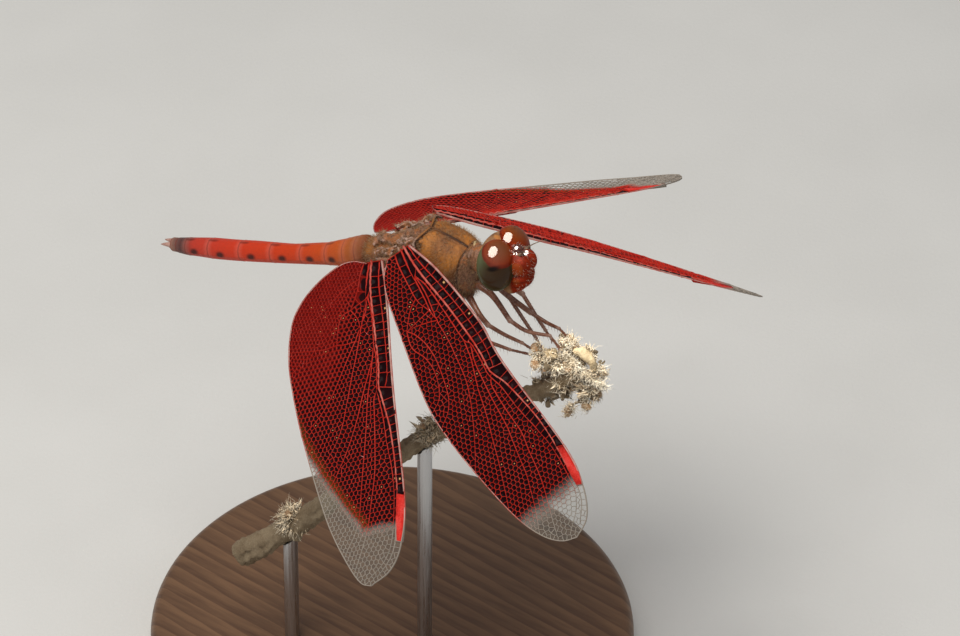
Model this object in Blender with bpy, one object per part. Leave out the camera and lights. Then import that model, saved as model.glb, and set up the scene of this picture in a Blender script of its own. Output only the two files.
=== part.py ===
"""A male red parasol dragonfly (Neurothemis) at rest on a dry flower stem, on a small display stand.

Everything is modelled in millimetres and shrunk to metres by one empty at the end. The dragonfly is
built in its own frame, with the middle of the thorax at the origin, +X to the head, +Y to its left and
+Z to its back. The empty "dragonfly" then pitches, rolls and turns it, and stands it over the base.
"""

import math

import bmesh
import bpy
from mathutils import Euler, Matrix, Vector

MM = 0.001
FIT = 0.05  # clearance left between neighbouring solids
WELD = 0.002  # corners nearer than this after a cut become one

# How the dragonfly sits over the stand
BODY_HEIGHT = 40.0
BODY_AT = Vector((3.0, -1.0, BODY_HEIGHT))
BODY_PITCH = math.radians(24.0)  # head up
BODY_ROLL = math.radians(10.3)  # left side up
BODY_HEADING = math.radians(-90.0)  # the head points along -Y

# Head: a pair of eyes that meet on the crown, with the face in front
HEAD_AT = Vector((8.41, 0.0, 0.12))
HEAD_TURN = Euler((math.radians(-11.6), math.radians(8.5), math.radians(5.4)))
EYE_RADII = (1.49, 1.67, 2.11)
EYE_SIDE = 1.14

# Thorax stations: x, height of the back, height of the underside, half width
THORAX = (
    (-5.15, 2.2, 0.1, 1.15),
    (-4.3, 2.35, -0.3, 1.35),
    (-3.2, 2.25, -0.75, 1.6),
    (-2.0, 2.3, -1.35, 1.85),
    (-0.7, 2.55, -2.0, 2.1),
    (0.6, 2.75, -2.75, 2.25),
    (1.7, 3.0, -3.15, 2.35),
    (2.4, 3.25, -3.3, 2.4),
    (3.2, 2.85, -3.25, 2.4),
    (4.2, 2.2, -2.9, 2.2),
    (5.0, 1.6, -2.2, 1.75),
    (5.55, 1.1, -1.2, 1.0),
)

# Knobs that carry the wing hinges, on both sides: place and radii
HINGE_KNOBS = (
    ((1.3, 1.55, 2.75), (1.2, 0.6, 0.45)),
    ((-1.9, 1.75, 1.75), (1.7, 0.65, 0.5)),
    ((-0.3, 0.55, 2.65), (1.3, 0.6, 0.35)),
)

# Abdomen: where each ring starts and ends, and its size along the way
ABDOMEN_AT = Vector((-5.35, 0.0, 1.17))
ABDOMEN_PITCH = math.radians(-0.4)
RING_ENDS = (0.0, 0.75, 2.2, 4.4, 7.3, 10.6, 14.0, 17.4, 20.0, 21.1, 21.75)
RING_SIZES = (
    (0.0, 1.18, 1.2),
    (1.5, 1.28, 1.22),
    (3.0, 1.12, 1.05),
    (5.0, 0.95, 0.88),
    (8.5, 0.84, 0.8),
    (13.0, 0.92, 0.84),
    (17.0, 0.92, 0.84),
    (20.0, 0.78, 0.72),
    (21.75, 0.6, 0.56),
)
# How far the middle line hangs below a straight one, along its length
ABDOMEN_SAG = ((0.0, 0.35), (2.0, 0.7), (5.0, 0.95), (8.5, 1.05), (14.0, 0.87), (20.0, 0.57), (23.0, 0.3))
TAIL_LENGTH = 1.25
TAIL_RADIUS = 0.28
TAIL_SPREAD = 0.3

# Wings: hinge on the right side, angles in degrees, sag of the tip and how far the rear part cups
# upwards, then the outline from hinge to tip along its front and its rear edge, with x along the
# wing and y towards the front edge
WING_THICK = 0.5
FOREWING_FRONT = ((0.3, 0.0), (3.5, 0.84), (8.8, 1.39), (12.7, 1.17), (21.1, 1.6), (24.5, 1.07),
                  (26.6, -0.05), (27.36, -1.61))
FOREWING_REAR = ((0.2, -2.2), (1.0, -3.05), (2.0, -3.6), (3.2, -3.97), (5.1, -4.4), (11.2, -5.72),
                 (14.7, -5.87), (18.8, -5.5), (22.9, -4.85), (25.4, -3.95), (26.8, -2.85),
                 (27.36, -1.61))
HINDWING_FRONT = ((0.3, 0.0), (3.6, 0.36), (11.0, 0.79), (20.0, 1.7), (23.7, 1.38), (25.7, 0.35),
                  (26.6, -1.45))
HINDWING_REAR = ((0.2, -1.5), (-0.25, -2.8), (-0.1, -4.2), (1.0, -6.3), (2.5, -7.87), (4.2, -8.64),
                 (7.1, -8.9), (11.0, -8.3), (15.0, -7.3), (20.0, -5.76), (22.7, -4.61),
                 (25.2, -3.2), (26.3, -2.3), (26.6, -1.45))
WINGS = {
    "forewing_right": dict(side=-1, hinge=(1.43, 1.76, 3.14), length=27.36, sag=0.63, twist=-6.3,
                           sweep=55.0, droop=38.7, pitch=-19.5, cup=0.0,
                           front=FOREWING_FRONT, rear=FOREWING_REAR),
    "forewing_left": dict(side=1, hinge=(1.43, 1.76, 3.14), length=27.36, sag=0.75, twist=-9.5,
                          sweep=53.7, droop=40.6, pitch=-22.0, cup=0.0,
                          front=FOREWING_FRONT, rear=FOREWING_REAR),
    "hindwing_right": dict(side=-1, hinge=(-1.65, 2.18, 1.91), length=26.6, sag=-0.28, twist=-2.5,
                           sweep=19.4, droop=33.2, pitch=-3.3, cup=0.0,
                           front=HINDWING_FRONT, rear=HINDWING_REAR),
    "hindwing_left": dict(side=1, hinge=(-2.43, 1.38, 1.8), length=26.6, sag=-1.14, twist=11.9,
                          sweep=21.6, droop=30.65, pitch=-14.8, cup=1.49,
                          front=HINDWING_FRONT, rear=HINDWING_REAR),
}
WING_RUNGS = 21
WING_STRIPS = 2

# Legs: hip, knee, ankle and claw, with what bends between them
FEMUR_RADII = (0.36, 0.27)
TIBIA_RADII = (0.26, 0.25)
TARSUS_RADII = (0.25, 0.22)
LEGS = {
    "front_right": (((5.1, -0.7, -2.0), (6.13, -0.86, -3.01), (7.25, -1.49, -4.93)),
                    ((7.25, -1.49, -4.93), (8.22, -1.32, -6.11), (9.53, -0.61, -7.15)),
                    ((9.53, -0.61, -7.15), (9.88, -0.67, -8.34))),
    "front_left": (((4.9, 0.7, -2.1), (5.35, 1.04, -4.4), (6.57, 1.3, -6.5)),
                   ((6.57, 1.3, -6.5), (7.8, 1.2, -7.4), (9.0, 1.0, -7.8)),
                   ((9.0, 1.0, -7.8), (9.8, 0.6, -8.1))),
    "middle_right": (((3.6, -0.9, -2.7), (5.0, -2.0, -3.9), (5.4, -2.1, -4.9)),
                     ((5.4, -2.1, -4.9), (6.2, -1.8, -6.1), (7.1, -1.37, -7.3)),
                     ((7.1, -1.37, -7.3), (7.7, -1.1, -8.4))),
    "middle_left": (((3.6, 0.9, -2.7), (4.1, 2.4, -4.4), (4.9, 2.9, -6.0)),
                    ((4.9, 2.9, -6.0), (6.0, 2.1, -7.4), (7.0, 1.4, -8.4)),
                    ((7.0, 1.4, -8.4), (7.75, 0.9, -9.0))),
    "hind_right": (((2.3, -1.0, -2.8), (3.0, -2.6, -4.0), (3.6, -3.2, -4.7)),
                   ((3.6, -3.2, -4.7), (5.0, -2.8, -5.9), (6.4, -2.2, -7.3)),
                   ((6.4, -2.2, -7.3), (7.2, -1.5, -8.3))),
    "hind_left": (((2.3, 1.0, -2.8), (2.4, 2.9, -4.6), (2.6, 3.4, -6.0)),
                  ((2.6, 3.4, -6.0), (4.3, 2.2, -7.6), (5.9, 1.1, -9.0)),
                  ((5.9, 1.1, -9.0), (6.8, 0.4, -9.5))),
}

# Perch, measured from the middle of the thorax in the upright frame: the stem, thick end last, and
# the dry flower heads on it with their radii
STEM = ((1.7, -13.4, -6.1), (0.9, -11.1, -8.3), (-0.84, -8.0, -10.2), (-3.8, -2.9, -14.3),
        (-6.9, 2.2, -19.9), (-9.5, 6.3, -24.4), (-11.6, 9.9, -27.7))
STEM_RADII = (0.7, 0.75, 0.8, 0.85, 0.95, 1.05, 1.15)
FLOWER_HEADS = (
    ((0.85, -10.9, -5.6), 1.15),
    ((1.15, -12.1, -5.5), 1.1),
    ((2.0, -12.5, -4.1), 1.15),
    ((1.6, -13.4, -5.5), 1.3),
    ((2.6, -13.9, -4.7), 0.95),
    ((2.65, -15.0, -5.9), 0.95),
    ((2.0, -14.5, -7.4), 1.4),
    ((1.85, -12.3, -7.4), 1.6),
    ((1.5, -10.7, -8.9), 1.4),
    ((-3.6, -3.3, -13.6), 1.5),
    ((-9.3, 6.2, -23.6), 1.6),
)

# Display stand: a turned wooden base and two steel rods, placed by their stem points
BASE_RADIUS = 20.0
BASE_THICK = 4.0
BASE_EDGE = 0.8
ROD_RADIUS = 0.6
ROD_STATIONS = {"stand_rod_front": 3, "stand_rod_back": 5}

COLOURS = {
    "eye": ((0.22, 0.02, 0.01), 0.15, 0.0),
    "face": ((0.35, 0.02, 0.01), 0.3, 0.0),
    "head": ((0.18, 0.08, 0.03), 0.5, 0.0),
    "thorax": ((0.3, 0.12, 0.03), 0.6, 0.0),
    "abdomen": ((0.5, 0.06, 0.02), 0.45, 0.0),
    "tail": ((0.25, 0.14, 0.12), 0.5, 0.0),
    "wing": ((0.12, 0.005, 0.008), 0.3, 0.0),
    "leg": ((0.14, 0.04, 0.02), 0.45, 0.0),
    "stem": ((0.5, 0.42, 0.3), 0.85, 0.0),
    "base": ((0.2, 0.11, 0.06), 0.5, 0.0),
    "rod": ((0.55, 0.55, 0.55), 0.3, 1.0),
}


# Scene, materials and small helpers


def clear_scene():
    for obj in list(bpy.data.objects):
        bpy.data.objects.remove(obj, do_unlink=True)


def new_collection(name):
    collection = bpy.data.collections.new(name)
    bpy.context.scene.collection.children.link(collection)
    return collection


def new_material(name):
    colour, roughness, metallic = COLOURS[name]
    material = bpy.data.materials.new(name)
    material.use_nodes = True
    shader = material.node_tree.nodes["Principled BSDF"]
    shader.inputs["Base Color"].default_value = (*colour, 1.0)
    shader.inputs["Roughness"].default_value = roughness
    shader.inputs["Metallic"].default_value = metallic
    material.diffuse_color = (*colour, 1.0)
    return material


def add_object(name, data, material, parent=None):
    """One sub-part, with its own copy of the material, under the empty that places it."""
    obj = bpy.data.objects.new(name, data)
    PARTS.objects.link(obj)
    if obj.type == "MESH":
        data.shade_smooth()
        data.set_sharp_from_angle(angle=math.radians(40))
    data.materials.clear()
    data.materials.append(material.copy())
    obj.parent = parent
    return obj


def mesh_from(bm):
    bmesh.ops.recalc_face_normals(bm, faces=bm.faces)
    bmesh.ops.triangulate(bm, faces=bm.faces)
    mesh = bpy.data.meshes.new("solid")
    bm.to_mesh(mesh)
    bm.free()
    return mesh


def smooth_value(stations, x, column=1):
    """A smooth curve through a table's column, read at x, with no overshoot between stations."""
    xs = [row[0] for row in stations]
    ys = [row[column] for row in stations]
    slopes = [(ys[i + 1] - ys[i]) / (xs[i + 1] - xs[i]) for i in range(len(xs) - 1)]
    ends = [slopes[0]]
    for before, after in zip(slopes, slopes[1:]):
        ends.append(0.0 if before * after <= 0 else 2 * before * after / (before + after))
    ends.append(slopes[-1])
    x = min(max(x, xs[0]), xs[-1])
    i = max(k for k in range(len(xs) - 1) if xs[k] <= x)
    width = xs[i + 1] - xs[i]
    t = (x - xs[i]) / width
    return ((1 + 2 * t) * (1 - t) ** 2 * ys[i] + t * (1 - t) ** 2 * width * ends[i]
            + t * t * (3 - 2 * t) * ys[i + 1] + t * t * (t - 1) * width * ends[i + 1])


def smooth_path(points, count):
    """Points spaced evenly along a curve that passes through the given points."""
    dims = len(points[0])
    pts = [Vector(p).to_3d() for p in points]
    pts = [pts[0] * 2 - pts[1]] + pts + [pts[-1] * 2 - pts[-2]]
    fine = []
    for a, b, c, d in zip(pts, pts[1:], pts[2:], pts[3:]):
        for step in range(16):
            t = step / 16
            fine.append(0.5 * (2 * b + (c - a) * t + (2 * a - 5 * b + 4 * c - d) * t * t
                               + (3 * b - 3 * c + d - a) * t ** 3))
    fine.append(pts[-2])
    lengths = [0.0]
    for a, b in zip(fine, fine[1:]):
        lengths.append(lengths[-1] + (b - a).length)
    path = []
    for i in range(count):
        goal = lengths[-1] * i / (count - 1)
        k = min(max(j for j in range(len(fine)) if lengths[j] <= goal), len(fine) - 2)
        t = (goal - lengths[k]) / (lengths[k + 1] - lengths[k])
        path.append(fine[k].lerp(fine[k + 1], t))
    return [p.to_2d() for p in path] if dims == 2 else path


def loft(rings):
    """A closed skin over a row of rings with equal counts; each end is one flat face."""
    bm = bmesh.new()
    rows = [[bm.verts.new(p) for p in ring] for ring in rings]
    for low, high in zip(rows, rows[1:]):
        for i in range(len(low)):
            j = (i + 1) % len(low)
            bm.faces.new((low[i], low[j], high[j], high[i]))
    bm.faces.new(rows[0])
    bm.faces.new(rows[-1])
    return mesh_from(bm)


def ellipsoid(centre, radii, segments, rings):
    bm = bmesh.new()
    bmesh.ops.create_uvsphere(bm, u_segments=segments, v_segments=rings, radius=1.0)
    bm.transform(Matrix.Translation(centre) @ Matrix.Diagonal((*radii, 1.0)))
    return mesh_from(bm)


def tube(points, radii):
    """A tapered tube along a path: a bevelled POLY curve, made a mesh with its caps welded."""
    curve = bpy.data.curves.new("tube", "CURVE")
    curve.dimensions = "3D"
    curve.bevel_depth = 1.0
    curve.bevel_resolution = 1
    curve.use_fill_caps = True
    spline = curve.splines.new("POLY")
    spline.points.add(len(points) - 1)
    for i, (point, place) in enumerate(zip(spline.points, points)):
        point.co = (*place, 1.0)
        point.radius = smooth_value([(k, r) for k, r in enumerate(radii)],
                                    i / (len(points) - 1) * (len(radii) - 1))
    helper = bpy.data.objects.new("tube", curve)
    CUTTERS.objects.link(helper)
    graph = bpy.context.evaluated_depsgraph_get()
    source = bpy.data.meshes.new_from_object(helper.evaluated_get(graph))
    bpy.data.objects.remove(helper, do_unlink=True)
    bm = bmesh.new()
    bm.from_mesh(source)
    bmesh.ops.remove_doubles(bm, verts=bm.verts, dist=0.0001)
    return mesh_from(bm)


def cut_or_join(obj, mesh, parent, operation):
    """One Boolean against a helper under the parent; the crumbs that it leaves are welded."""
    helper = bpy.data.objects.new("cutter", mesh)
    CUTTERS.objects.link(helper)
    helper.parent = parent
    helper.hide_render = True
    helper.display_type = "WIRE"
    modifier = obj.modifiers.new(operation.lower(), "BOOLEAN")
    modifier.operation = operation
    modifier.solver = "EXACT"
    modifier.object = helper
    bpy.context.view_layer.update()
    graph = bpy.context.evaluated_depsgraph_get()
    result = bpy.data.meshes.new_from_object(obj.evaluated_get(graph))
    bm = bmesh.new()
    bm.from_mesh(result)
    bmesh.ops.remove_doubles(bm, verts=bm.verts, dist=WELD)
    bmesh.ops.dissolve_degenerate(bm, edges=bm.edges, dist=WELD)
    bm.to_mesh(result)
    bm.free()
    obj.modifiers.clear()
    obj.data = result
    bpy.data.objects.remove(helper, do_unlink=True)


def keep_largest(obj):
    """Drops the chips that a cut leaves beside the main piece."""
    bm = bmesh.new()
    bm.from_mesh(obj.data)
    pieces = []
    waiting = dict.fromkeys(bm.verts)
    while waiting:
        start = next(iter(waiting))
        del waiting[start]
        piece, queue = [], [start]
        while queue:
            vert = queue.pop()
            piece.append(vert)
            for edge in vert.link_edges:
                other = edge.other_vert(vert)
                if other in waiting:
                    del waiting[other]
                    queue.append(other)
        pieces.append(piece)
    pieces.sort(key=len)
    chips = [vert for piece in pieces[:-1] for vert in piece]
    bmesh.ops.delete(bm, geom=chips, context="VERTS")
    bm.to_mesh(obj.data)
    bm.free()


def make_solid(name, shapes, finish, parent=None, beside=()):
    """Joins the shapes, then cuts away what comes nearer than FIT to the solids beside it.

    Each shape is a function of how much to grow, so that the neighbours can cut with a larger copy.
    """
    obj = add_object(name, shapes[0](0.0), MATERIALS[finish], parent)
    for shape in shapes[1:]:
        cut_or_join(obj, shape(0.0), parent, "UNION")
    for other in beside:
        for shape in SHAPES[other]["shapes"]:
            cut_or_join(obj, shape(FIT), SHAPES[other]["parent"], "DIFFERENCE")
    if len(shapes) > 1 or beside:
        keep_largest(obj)
    SHAPES[name] = {"shapes": shapes, "parent": parent}
    return obj


# Head


def head_ellipsoid(centre, radii, segments, rings):
    """A shape in the head's own frame."""
    def shape(grow):
        mesh = ellipsoid(centre, [r + grow for r in radii], segments, rings)
        mesh.transform(Matrix.LocRotScale(HEAD_AT, HEAD_TURN, None))
        return mesh
    return shape


def head_tube(points, radii):
    def shape(grow):
        mesh = tube(smooth_path(points, 5), [r + grow for r in radii])
        mesh.transform(Matrix.LocRotScale(HEAD_AT, HEAD_TURN, None))
        return mesh
    return shape


def make_eye(name, side):
    """An ellipsoid cut flat where the two eyes meet on the crown."""
    globe = head_ellipsoid((0, side * EYE_SIDE, 0), EYE_RADII, 18, 12)
    eye = make_solid(name, [globe], "eye", DRAGONFLY)
    turn = HEAD_TURN.to_matrix()
    bm = bmesh.new()
    bm.from_mesh(eye.data)
    sliced = bmesh.ops.bisect_plane(bm, geom=bm.verts[:] + bm.edges[:] + bm.faces[:],
                                    plane_co=HEAD_AT + turn @ Vector((0, side * FIT / 2, 0)),
                                    plane_no=turn @ Vector((0, -side, 0)), clear_outer=True)
    rim = [item for item in sliced["geom_cut"] if isinstance(item, bmesh.types.BMEdge)]
    bmesh.ops.holes_fill(bm, edges=rim)
    bm.to_mesh(eye.data)
    bm.free()


def make_head():
    """Eyes first, then the face plates and the capsule, each fitted to what is already there."""
    made = []
    for name, side in (("eye_left", 1), ("eye_right", -1)):
        make_eye(name, side)
        made.append(name)
    plates = (
        ("vertex", (1.5, 0, 0.98), (0.52, 0.6, 0.5), "face", 12, 8),
        ("frons", (1.72, 0, -0.3), (1.0, 1.3, 1.08), "face", 14, 8),
        ("clypeus", (1.45, 0, -1.45), (0.92, 1.3, 0.9), "face", 14, 8),
        ("mouthparts", (0.5, 0, -2.0), (1.2, 1.15, 0.78), "face", 12, 7),
        ("head", (-0.5, 0, -0.2), (1.15, 2.55, 2.1), "head", 14, 9),
    )
    for name, centre, radii, finish, segments, rings in plates:
        make_solid(name, [head_ellipsoid(centre, radii, segments, rings)], finish, DRAGONFLY, made)
        made.append(name)
    for name, side in (("antenna_left", 1), ("antenna_right", -1)):
        path = [(1.9, side * 0.55, 0.75), (2.7, side * 0.75, 1.15), (3.6, side * 1.1, 1.3)]
        make_solid(name, [head_tube(path, (0.27, 0.25))], "head", DRAGONFLY,
                   ["vertex", "frons", "eye_left", "eye_right"])
    return made


# Trunk


def ring_of(x, top, bottom, half, sides=20, squareness=2.4):
    """One rounded cross-section of the trunk, widest at mid height."""
    middle, tall = (top + bottom) / 2, (top - bottom) / 2
    ring = []
    for i in range(sides):
        angle = math.tau * i / sides
        c, s = math.cos(angle), math.sin(angle)
        power = 2 / squareness
        ring.append(Vector((x, math.copysign(abs(c) ** power, c) * half,
                            middle + math.copysign(abs(s) ** power, s) * tall)))
    return ring


def trunk_loft(grow):
    count = 15
    first, last = THORAX[0][0] - grow, THORAX[-1][0] + grow
    rings = []
    for i in range(count):
        x = first + (last - first) * i / (count - 1)
        top, bottom, half = (smooth_value(THORAX, x, column) for column in (1, 2, 3))
        rings.append(ring_of(x, top + grow, bottom - grow, half + grow))
    return loft(rings)


def body_ellipsoid(centre, radii, segments=10, rings=6):
    return lambda grow: ellipsoid(centre, [r + grow for r in radii], segments, rings)


def make_trunk(head_names):
    knobs = [body_ellipsoid((x, side * y, z), radii)
             for (x, y, z), radii in HINGE_KNOBS for side in (-1, 1)]
    make_solid("thorax", [trunk_loft, *knobs], "thorax", DRAGONFLY)
    make_solid("prothorax", [body_ellipsoid((6.05, 0, 0.0), (1.1, 1.2, 1.3), 14, 8)], "thorax",
               DRAGONFLY, ["thorax", *head_names])


def abdomen_ring(start, end):
    """One ring as a loft along the abdomen's sagging middle line, flatter across the back."""
    def shape(grow):
        count = max(3, round((end - start) / 1.2) + 2)
        rings = []
        for i in range(count):
            t = i / (count - 1)
            along = start + (end - start) * t
            swell = 1.0 - 0.05 * abs(2 * t - 1) ** 4
            half = smooth_value(RING_SIZES, along, 1) * swell + grow
            tall = smooth_value(RING_SIZES, along, 2) * swell + grow
            sag = smooth_value(ABDOMEN_SAG, along)
            ring = ring_of(-along, tall, -tall, half, sides=16, squareness=2.1)
            rings.append([Vector((p.x, p.y * (1 - 0.12 * max(p.z, 0) / tall), p.z - sag))
                          for p in ring])
        mesh = loft(rings)
        mesh.transform(ABDOMEN_PLACE)
        return mesh
    return shape


def tail_shapes():
    """Two claspers and the plate below them, in the abdomen's own line."""
    root = RING_ENDS[-1] + FIT
    low = smooth_value(ABDOMEN_SAG, root)

    def clasper(side):
        path = [(-root, side * 0.18, 0.1 - low), (-root - 0.6, side * TAIL_SPREAD, 0.18 - low),
                (-root - TAIL_LENGTH, side * TAIL_SPREAD, 0.25 - low)]

        def shape(grow):
            mesh = tube(smooth_path(path, 6), [r + grow for r in (TAIL_RADIUS, TAIL_RADIUS, 0.25)])
            mesh.transform(ABDOMEN_PLACE)
            return mesh
        return shape

    def plate(grow):
        radii = [r + grow for r in (0.45, 0.4, 0.3)]
        mesh = ellipsoid((-root - 0.35, 0, -0.02 - low), radii, 10, 6)
        mesh.transform(ABDOMEN_PLACE)
        return mesh

    return [clasper(1), clasper(-1), plate]


def make_abdomen():
    for number, (start, end) in enumerate(zip(RING_ENDS, RING_ENDS[1:]), start=1):
        shape = abdomen_ring(start + FIT / 2, end - FIT / 2)
        make_solid(f"abdomen_{number:02d}", [shape], "abdomen", DRAGONFLY,
                   ["thorax"] if number == 1 else [])
    make_solid("tail", tail_shapes(), "tail", DRAGONFLY, ["abdomen_10"])


# Wings


def wing_point(wing, x, y, lift):
    """A place on a wing: x along it, y towards its front edge and lift above its middle surface."""
    part = x / wing["length"]
    sweep, droop = math.radians(wing["sweep"]), math.radians(wing["droop"])
    pitch = math.radians(wing["pitch"] + wing["twist"] * (part - 0.5))
    along = Vector((math.sin(sweep) * math.cos(droop), -math.cos(sweep) * math.cos(droop),
                    -math.sin(droop)))
    level = Vector((math.cos(sweep), math.sin(sweep), 0))
    normal = level.cross(along)
    if normal.z < 0:
        normal.negate()
    forward = level * math.cos(pitch) - normal * math.sin(pitch)
    upward = normal * math.cos(pitch) + level * math.sin(pitch)
    hinge = Vector(wing["hinge"]) * Vector((1, -1, 1))
    lift += wing["cup"] * (max(-y - 2.0, 0.0) / 6.0) ** 2 - wing["sag"] * part * part
    place = hinge + along * x + forward * y + upward * lift
    if wing["side"] > 0:
        place.y = -place.y
    return place


def wing_plate(wing):
    """A thin plate: rungs from the front edge to the rear edge, closed to a point at the tip."""
    front = smooth_path(wing["front"], WING_RUNGS + 1)
    rear = smooth_path(wing["rear"], WING_RUNGS + 1)
    rows = {}
    bm = bmesh.new()
    for lift in (-WING_THICK / 2, WING_THICK / 2):
        rows[lift] = []
        for ahead, behind in zip(front[:-1], rear[:-1]):
            row = []
            for k in range(WING_STRIPS + 1):
                spot = ahead.lerp(behind, k / WING_STRIPS)
                row.append(bm.verts.new(wing_point(wing, spot.x, spot.y, lift)))
            rows[lift].append(row)
        tip = bm.verts.new(wing_point(wing, *front[-1], lift))
        rows[lift].append([tip] * (WING_STRIPS + 1))
    low, high = rows.values()

    def face(*corners):
        distinct = list(dict.fromkeys(corners))
        if len(distinct) > 2:
            bm.faces.new(distinct)

    for i in range(WING_RUNGS):
        for k in range(WING_STRIPS):
            face(low[i][k], low[i][k + 1], low[i + 1][k + 1], low[i + 1][k])
            face(high[i][k], high[i + 1][k], high[i + 1][k + 1], high[i][k + 1])
        for k in (0, WING_STRIPS):
            face(low[i][k], high[i][k], high[i + 1][k], low[i + 1][k])
    for k in range(WING_STRIPS):
        face(low[0][k], low[0][k + 1], high[0][k + 1], high[0][k])
    return mesh_from(bm)


# Legs, perch and stand


def limb(points, radii):
    return lambda grow: tube(smooth_path(points, 5), [r + grow for r in radii])


def make_leg(name, joints, beside):
    parts = (("femur", FEMUR_RADII), ("tibia", TIBIA_RADII), ("tarsus", TARSUS_RADII))
    for (part, radii), points in zip(parts, joints):
        full_name = f"leg_{name}_{part}"
        make_solid(full_name, [limb(points, radii)], "leg", DRAGONFLY, beside)
        beside = ["perch", full_name] + (["thorax"] if part == "femur" else [])


def flower_head(number, centre, radius):
    """A sphere with a rough coat."""
    def shape(grow):
        bm = bmesh.new()
        bmesh.ops.create_uvsphere(bm, u_segments=9, v_segments=6, radius=radius)
        for vert in bm.verts:
            x, y, z = vert.co / radius
            bump = math.sin(5 * x + number) + math.sin(6 * y + 2 * number) + math.sin(5 * z - number)
            vert.co *= 1 + 0.07 * bump + grow / radius
        bm.transform(Matrix.Translation(Vector(centre) + BODY_AT))
        return mesh_from(bm)
    return shape


def make_perch():
    """The stem and its flower heads, joined to one body."""
    path = [place + BODY_AT for place in smooth_path(STEM, 13)]
    shapes = [lambda grow: tube(path, [r + grow for r in STEM_RADII])]
    shapes += [flower_head(number, centre, radius)
               for number, (centre, radius) in enumerate(FLOWER_HEADS)]
    make_solid("perch", shapes, "stem")


def make_stand():
    bm = bmesh.new()
    bmesh.ops.create_cone(bm, cap_ends=True, segments=38, radius1=BASE_RADIUS, radius2=BASE_RADIUS,
                          depth=BASE_THICK)
    bm.transform(Matrix.Translation((0, 0, BASE_THICK / 2)))
    top = [edge for edge in bm.edges if all(v.co.z > BASE_THICK - FIT for v in edge.verts)]
    bmesh.ops.bevel(bm, geom=top, offset=BASE_EDGE, segments=2, profile=0.5, affect="EDGES")
    add_object("stand_base", mesh_from(bm), MATERIALS["base"])

    def rod(top_at):
        low = BASE_THICK + FIT
        bm = bmesh.new()
        bmesh.ops.create_cone(bm, cap_ends=True, segments=16, radius1=ROD_RADIUS,
                              radius2=ROD_RADIUS, depth=top_at.z - low)
        bm.transform(Matrix.Translation((top_at.x, top_at.y, (top_at.z + low) / 2)))
        return mesh_from(bm)

    for name, station in ROD_STATIONS.items():
        top_at = Vector(STEM[station]) + BODY_AT
        make_solid(name, [lambda grow, at=top_at: rod(at)], "rod", beside=["perch"])


clear_scene()
PARTS = new_collection("red_parasol_dragonfly")
CUTTERS = new_collection("cutters")
MATERIALS = {name: new_material(name) for name in COLOURS}
SHAPES = {}
ABDOMEN_PLACE = Matrix.LocRotScale(ABDOMEN_AT, Euler((0, -ABDOMEN_PITCH, 0)), None)

DRAGONFLY = bpy.data.objects.new("dragonfly", None)
PARTS.objects.link(DRAGONFLY)
DRAGONFLY.location = BODY_AT
DRAGONFLY.rotation_euler = (BODY_ROLL, -BODY_PITCH, BODY_HEADING)
bpy.context.view_layer.update()

make_perch()
make_stand()
head_names = make_head()
make_trunk(head_names)
make_abdomen()
for wing_name, measures in WINGS.items():
    make_solid(wing_name, [lambda grow, wing=measures: wing_plate(wing)], "wing", DRAGONFLY,
               ["thorax", "abdomen_01", "abdomen_02"])
for leg_name, leg_joints in LEGS.items():
    make_leg(leg_name, leg_joints, ["perch", "thorax", "prothorax", "mouthparts", "head"])

# From millimetres to metres
METRES = bpy.data.objects.new("metres", None)
PARTS.objects.link(METRES)
METRES.scale = (MM, MM, MM)
for top_level in [obj for obj in PARTS.objects if obj.parent is None and obj is not METRES]:
    top_level.parent = METRES
bpy.context.view_layer.update()
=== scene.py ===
# %% [markdown]
# # A red parasol dragonfly on a dry flower stem
#
# The imported model gives the frame: its box and its nodes. Every visible piece
# is built here in the dragonfly's own frame in millimetres, with +X to the head, +Y to its left and
# +Z to its back, and is then placed over the stand in metres.

import math
import random

import bmesh
import bpy
import numpy as np
from mathutils import Euler, Matrix, Vector


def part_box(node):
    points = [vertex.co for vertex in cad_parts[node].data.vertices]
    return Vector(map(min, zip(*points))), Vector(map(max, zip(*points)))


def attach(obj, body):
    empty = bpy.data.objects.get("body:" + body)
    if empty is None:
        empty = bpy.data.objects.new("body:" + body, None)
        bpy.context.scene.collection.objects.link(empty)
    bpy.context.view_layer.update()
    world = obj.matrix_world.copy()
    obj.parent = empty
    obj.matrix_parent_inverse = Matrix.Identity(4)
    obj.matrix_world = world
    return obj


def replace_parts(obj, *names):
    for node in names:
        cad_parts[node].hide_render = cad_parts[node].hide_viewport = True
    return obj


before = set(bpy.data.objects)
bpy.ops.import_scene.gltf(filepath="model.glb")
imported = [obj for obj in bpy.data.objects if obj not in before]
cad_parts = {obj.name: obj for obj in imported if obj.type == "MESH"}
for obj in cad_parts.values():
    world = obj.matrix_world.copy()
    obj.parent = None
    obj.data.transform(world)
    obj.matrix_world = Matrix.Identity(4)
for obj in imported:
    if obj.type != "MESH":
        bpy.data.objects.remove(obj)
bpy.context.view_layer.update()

# %% [markdown]
# ## Placing the dragonfly
#
# The same pose as the solids: pitched head up, rolled a little and facing -Y. Meshes are kept in
# world metres with no transform of their own, so that their boxes stay tight. The other way, an
# empty that turns them all, gives loose boxes.

# %% Pose and placing
MM = 0.001
BODY_AT = Vector((3.0, -1.0, 40.0))
BODY_TURN = Euler((math.radians(10.3), math.radians(-24.0), math.radians(-90.0)))
HEAD_AT = Vector((8.41, 0.0, 0.12))
HEAD_TURN = Euler((math.radians(-11.6), math.radians(8.5), math.radians(5.4)))

UPRIGHT = Matrix.Scale(MM, 4) @ Matrix.Translation(BODY_AT)
BODY = Matrix.Scale(MM, 4) @ Matrix.LocRotScale(BODY_AT, BODY_TURN, None)
HEAD = BODY @ Matrix.LocRotScale(HEAD_AT, HEAD_TURN, None)


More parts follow.
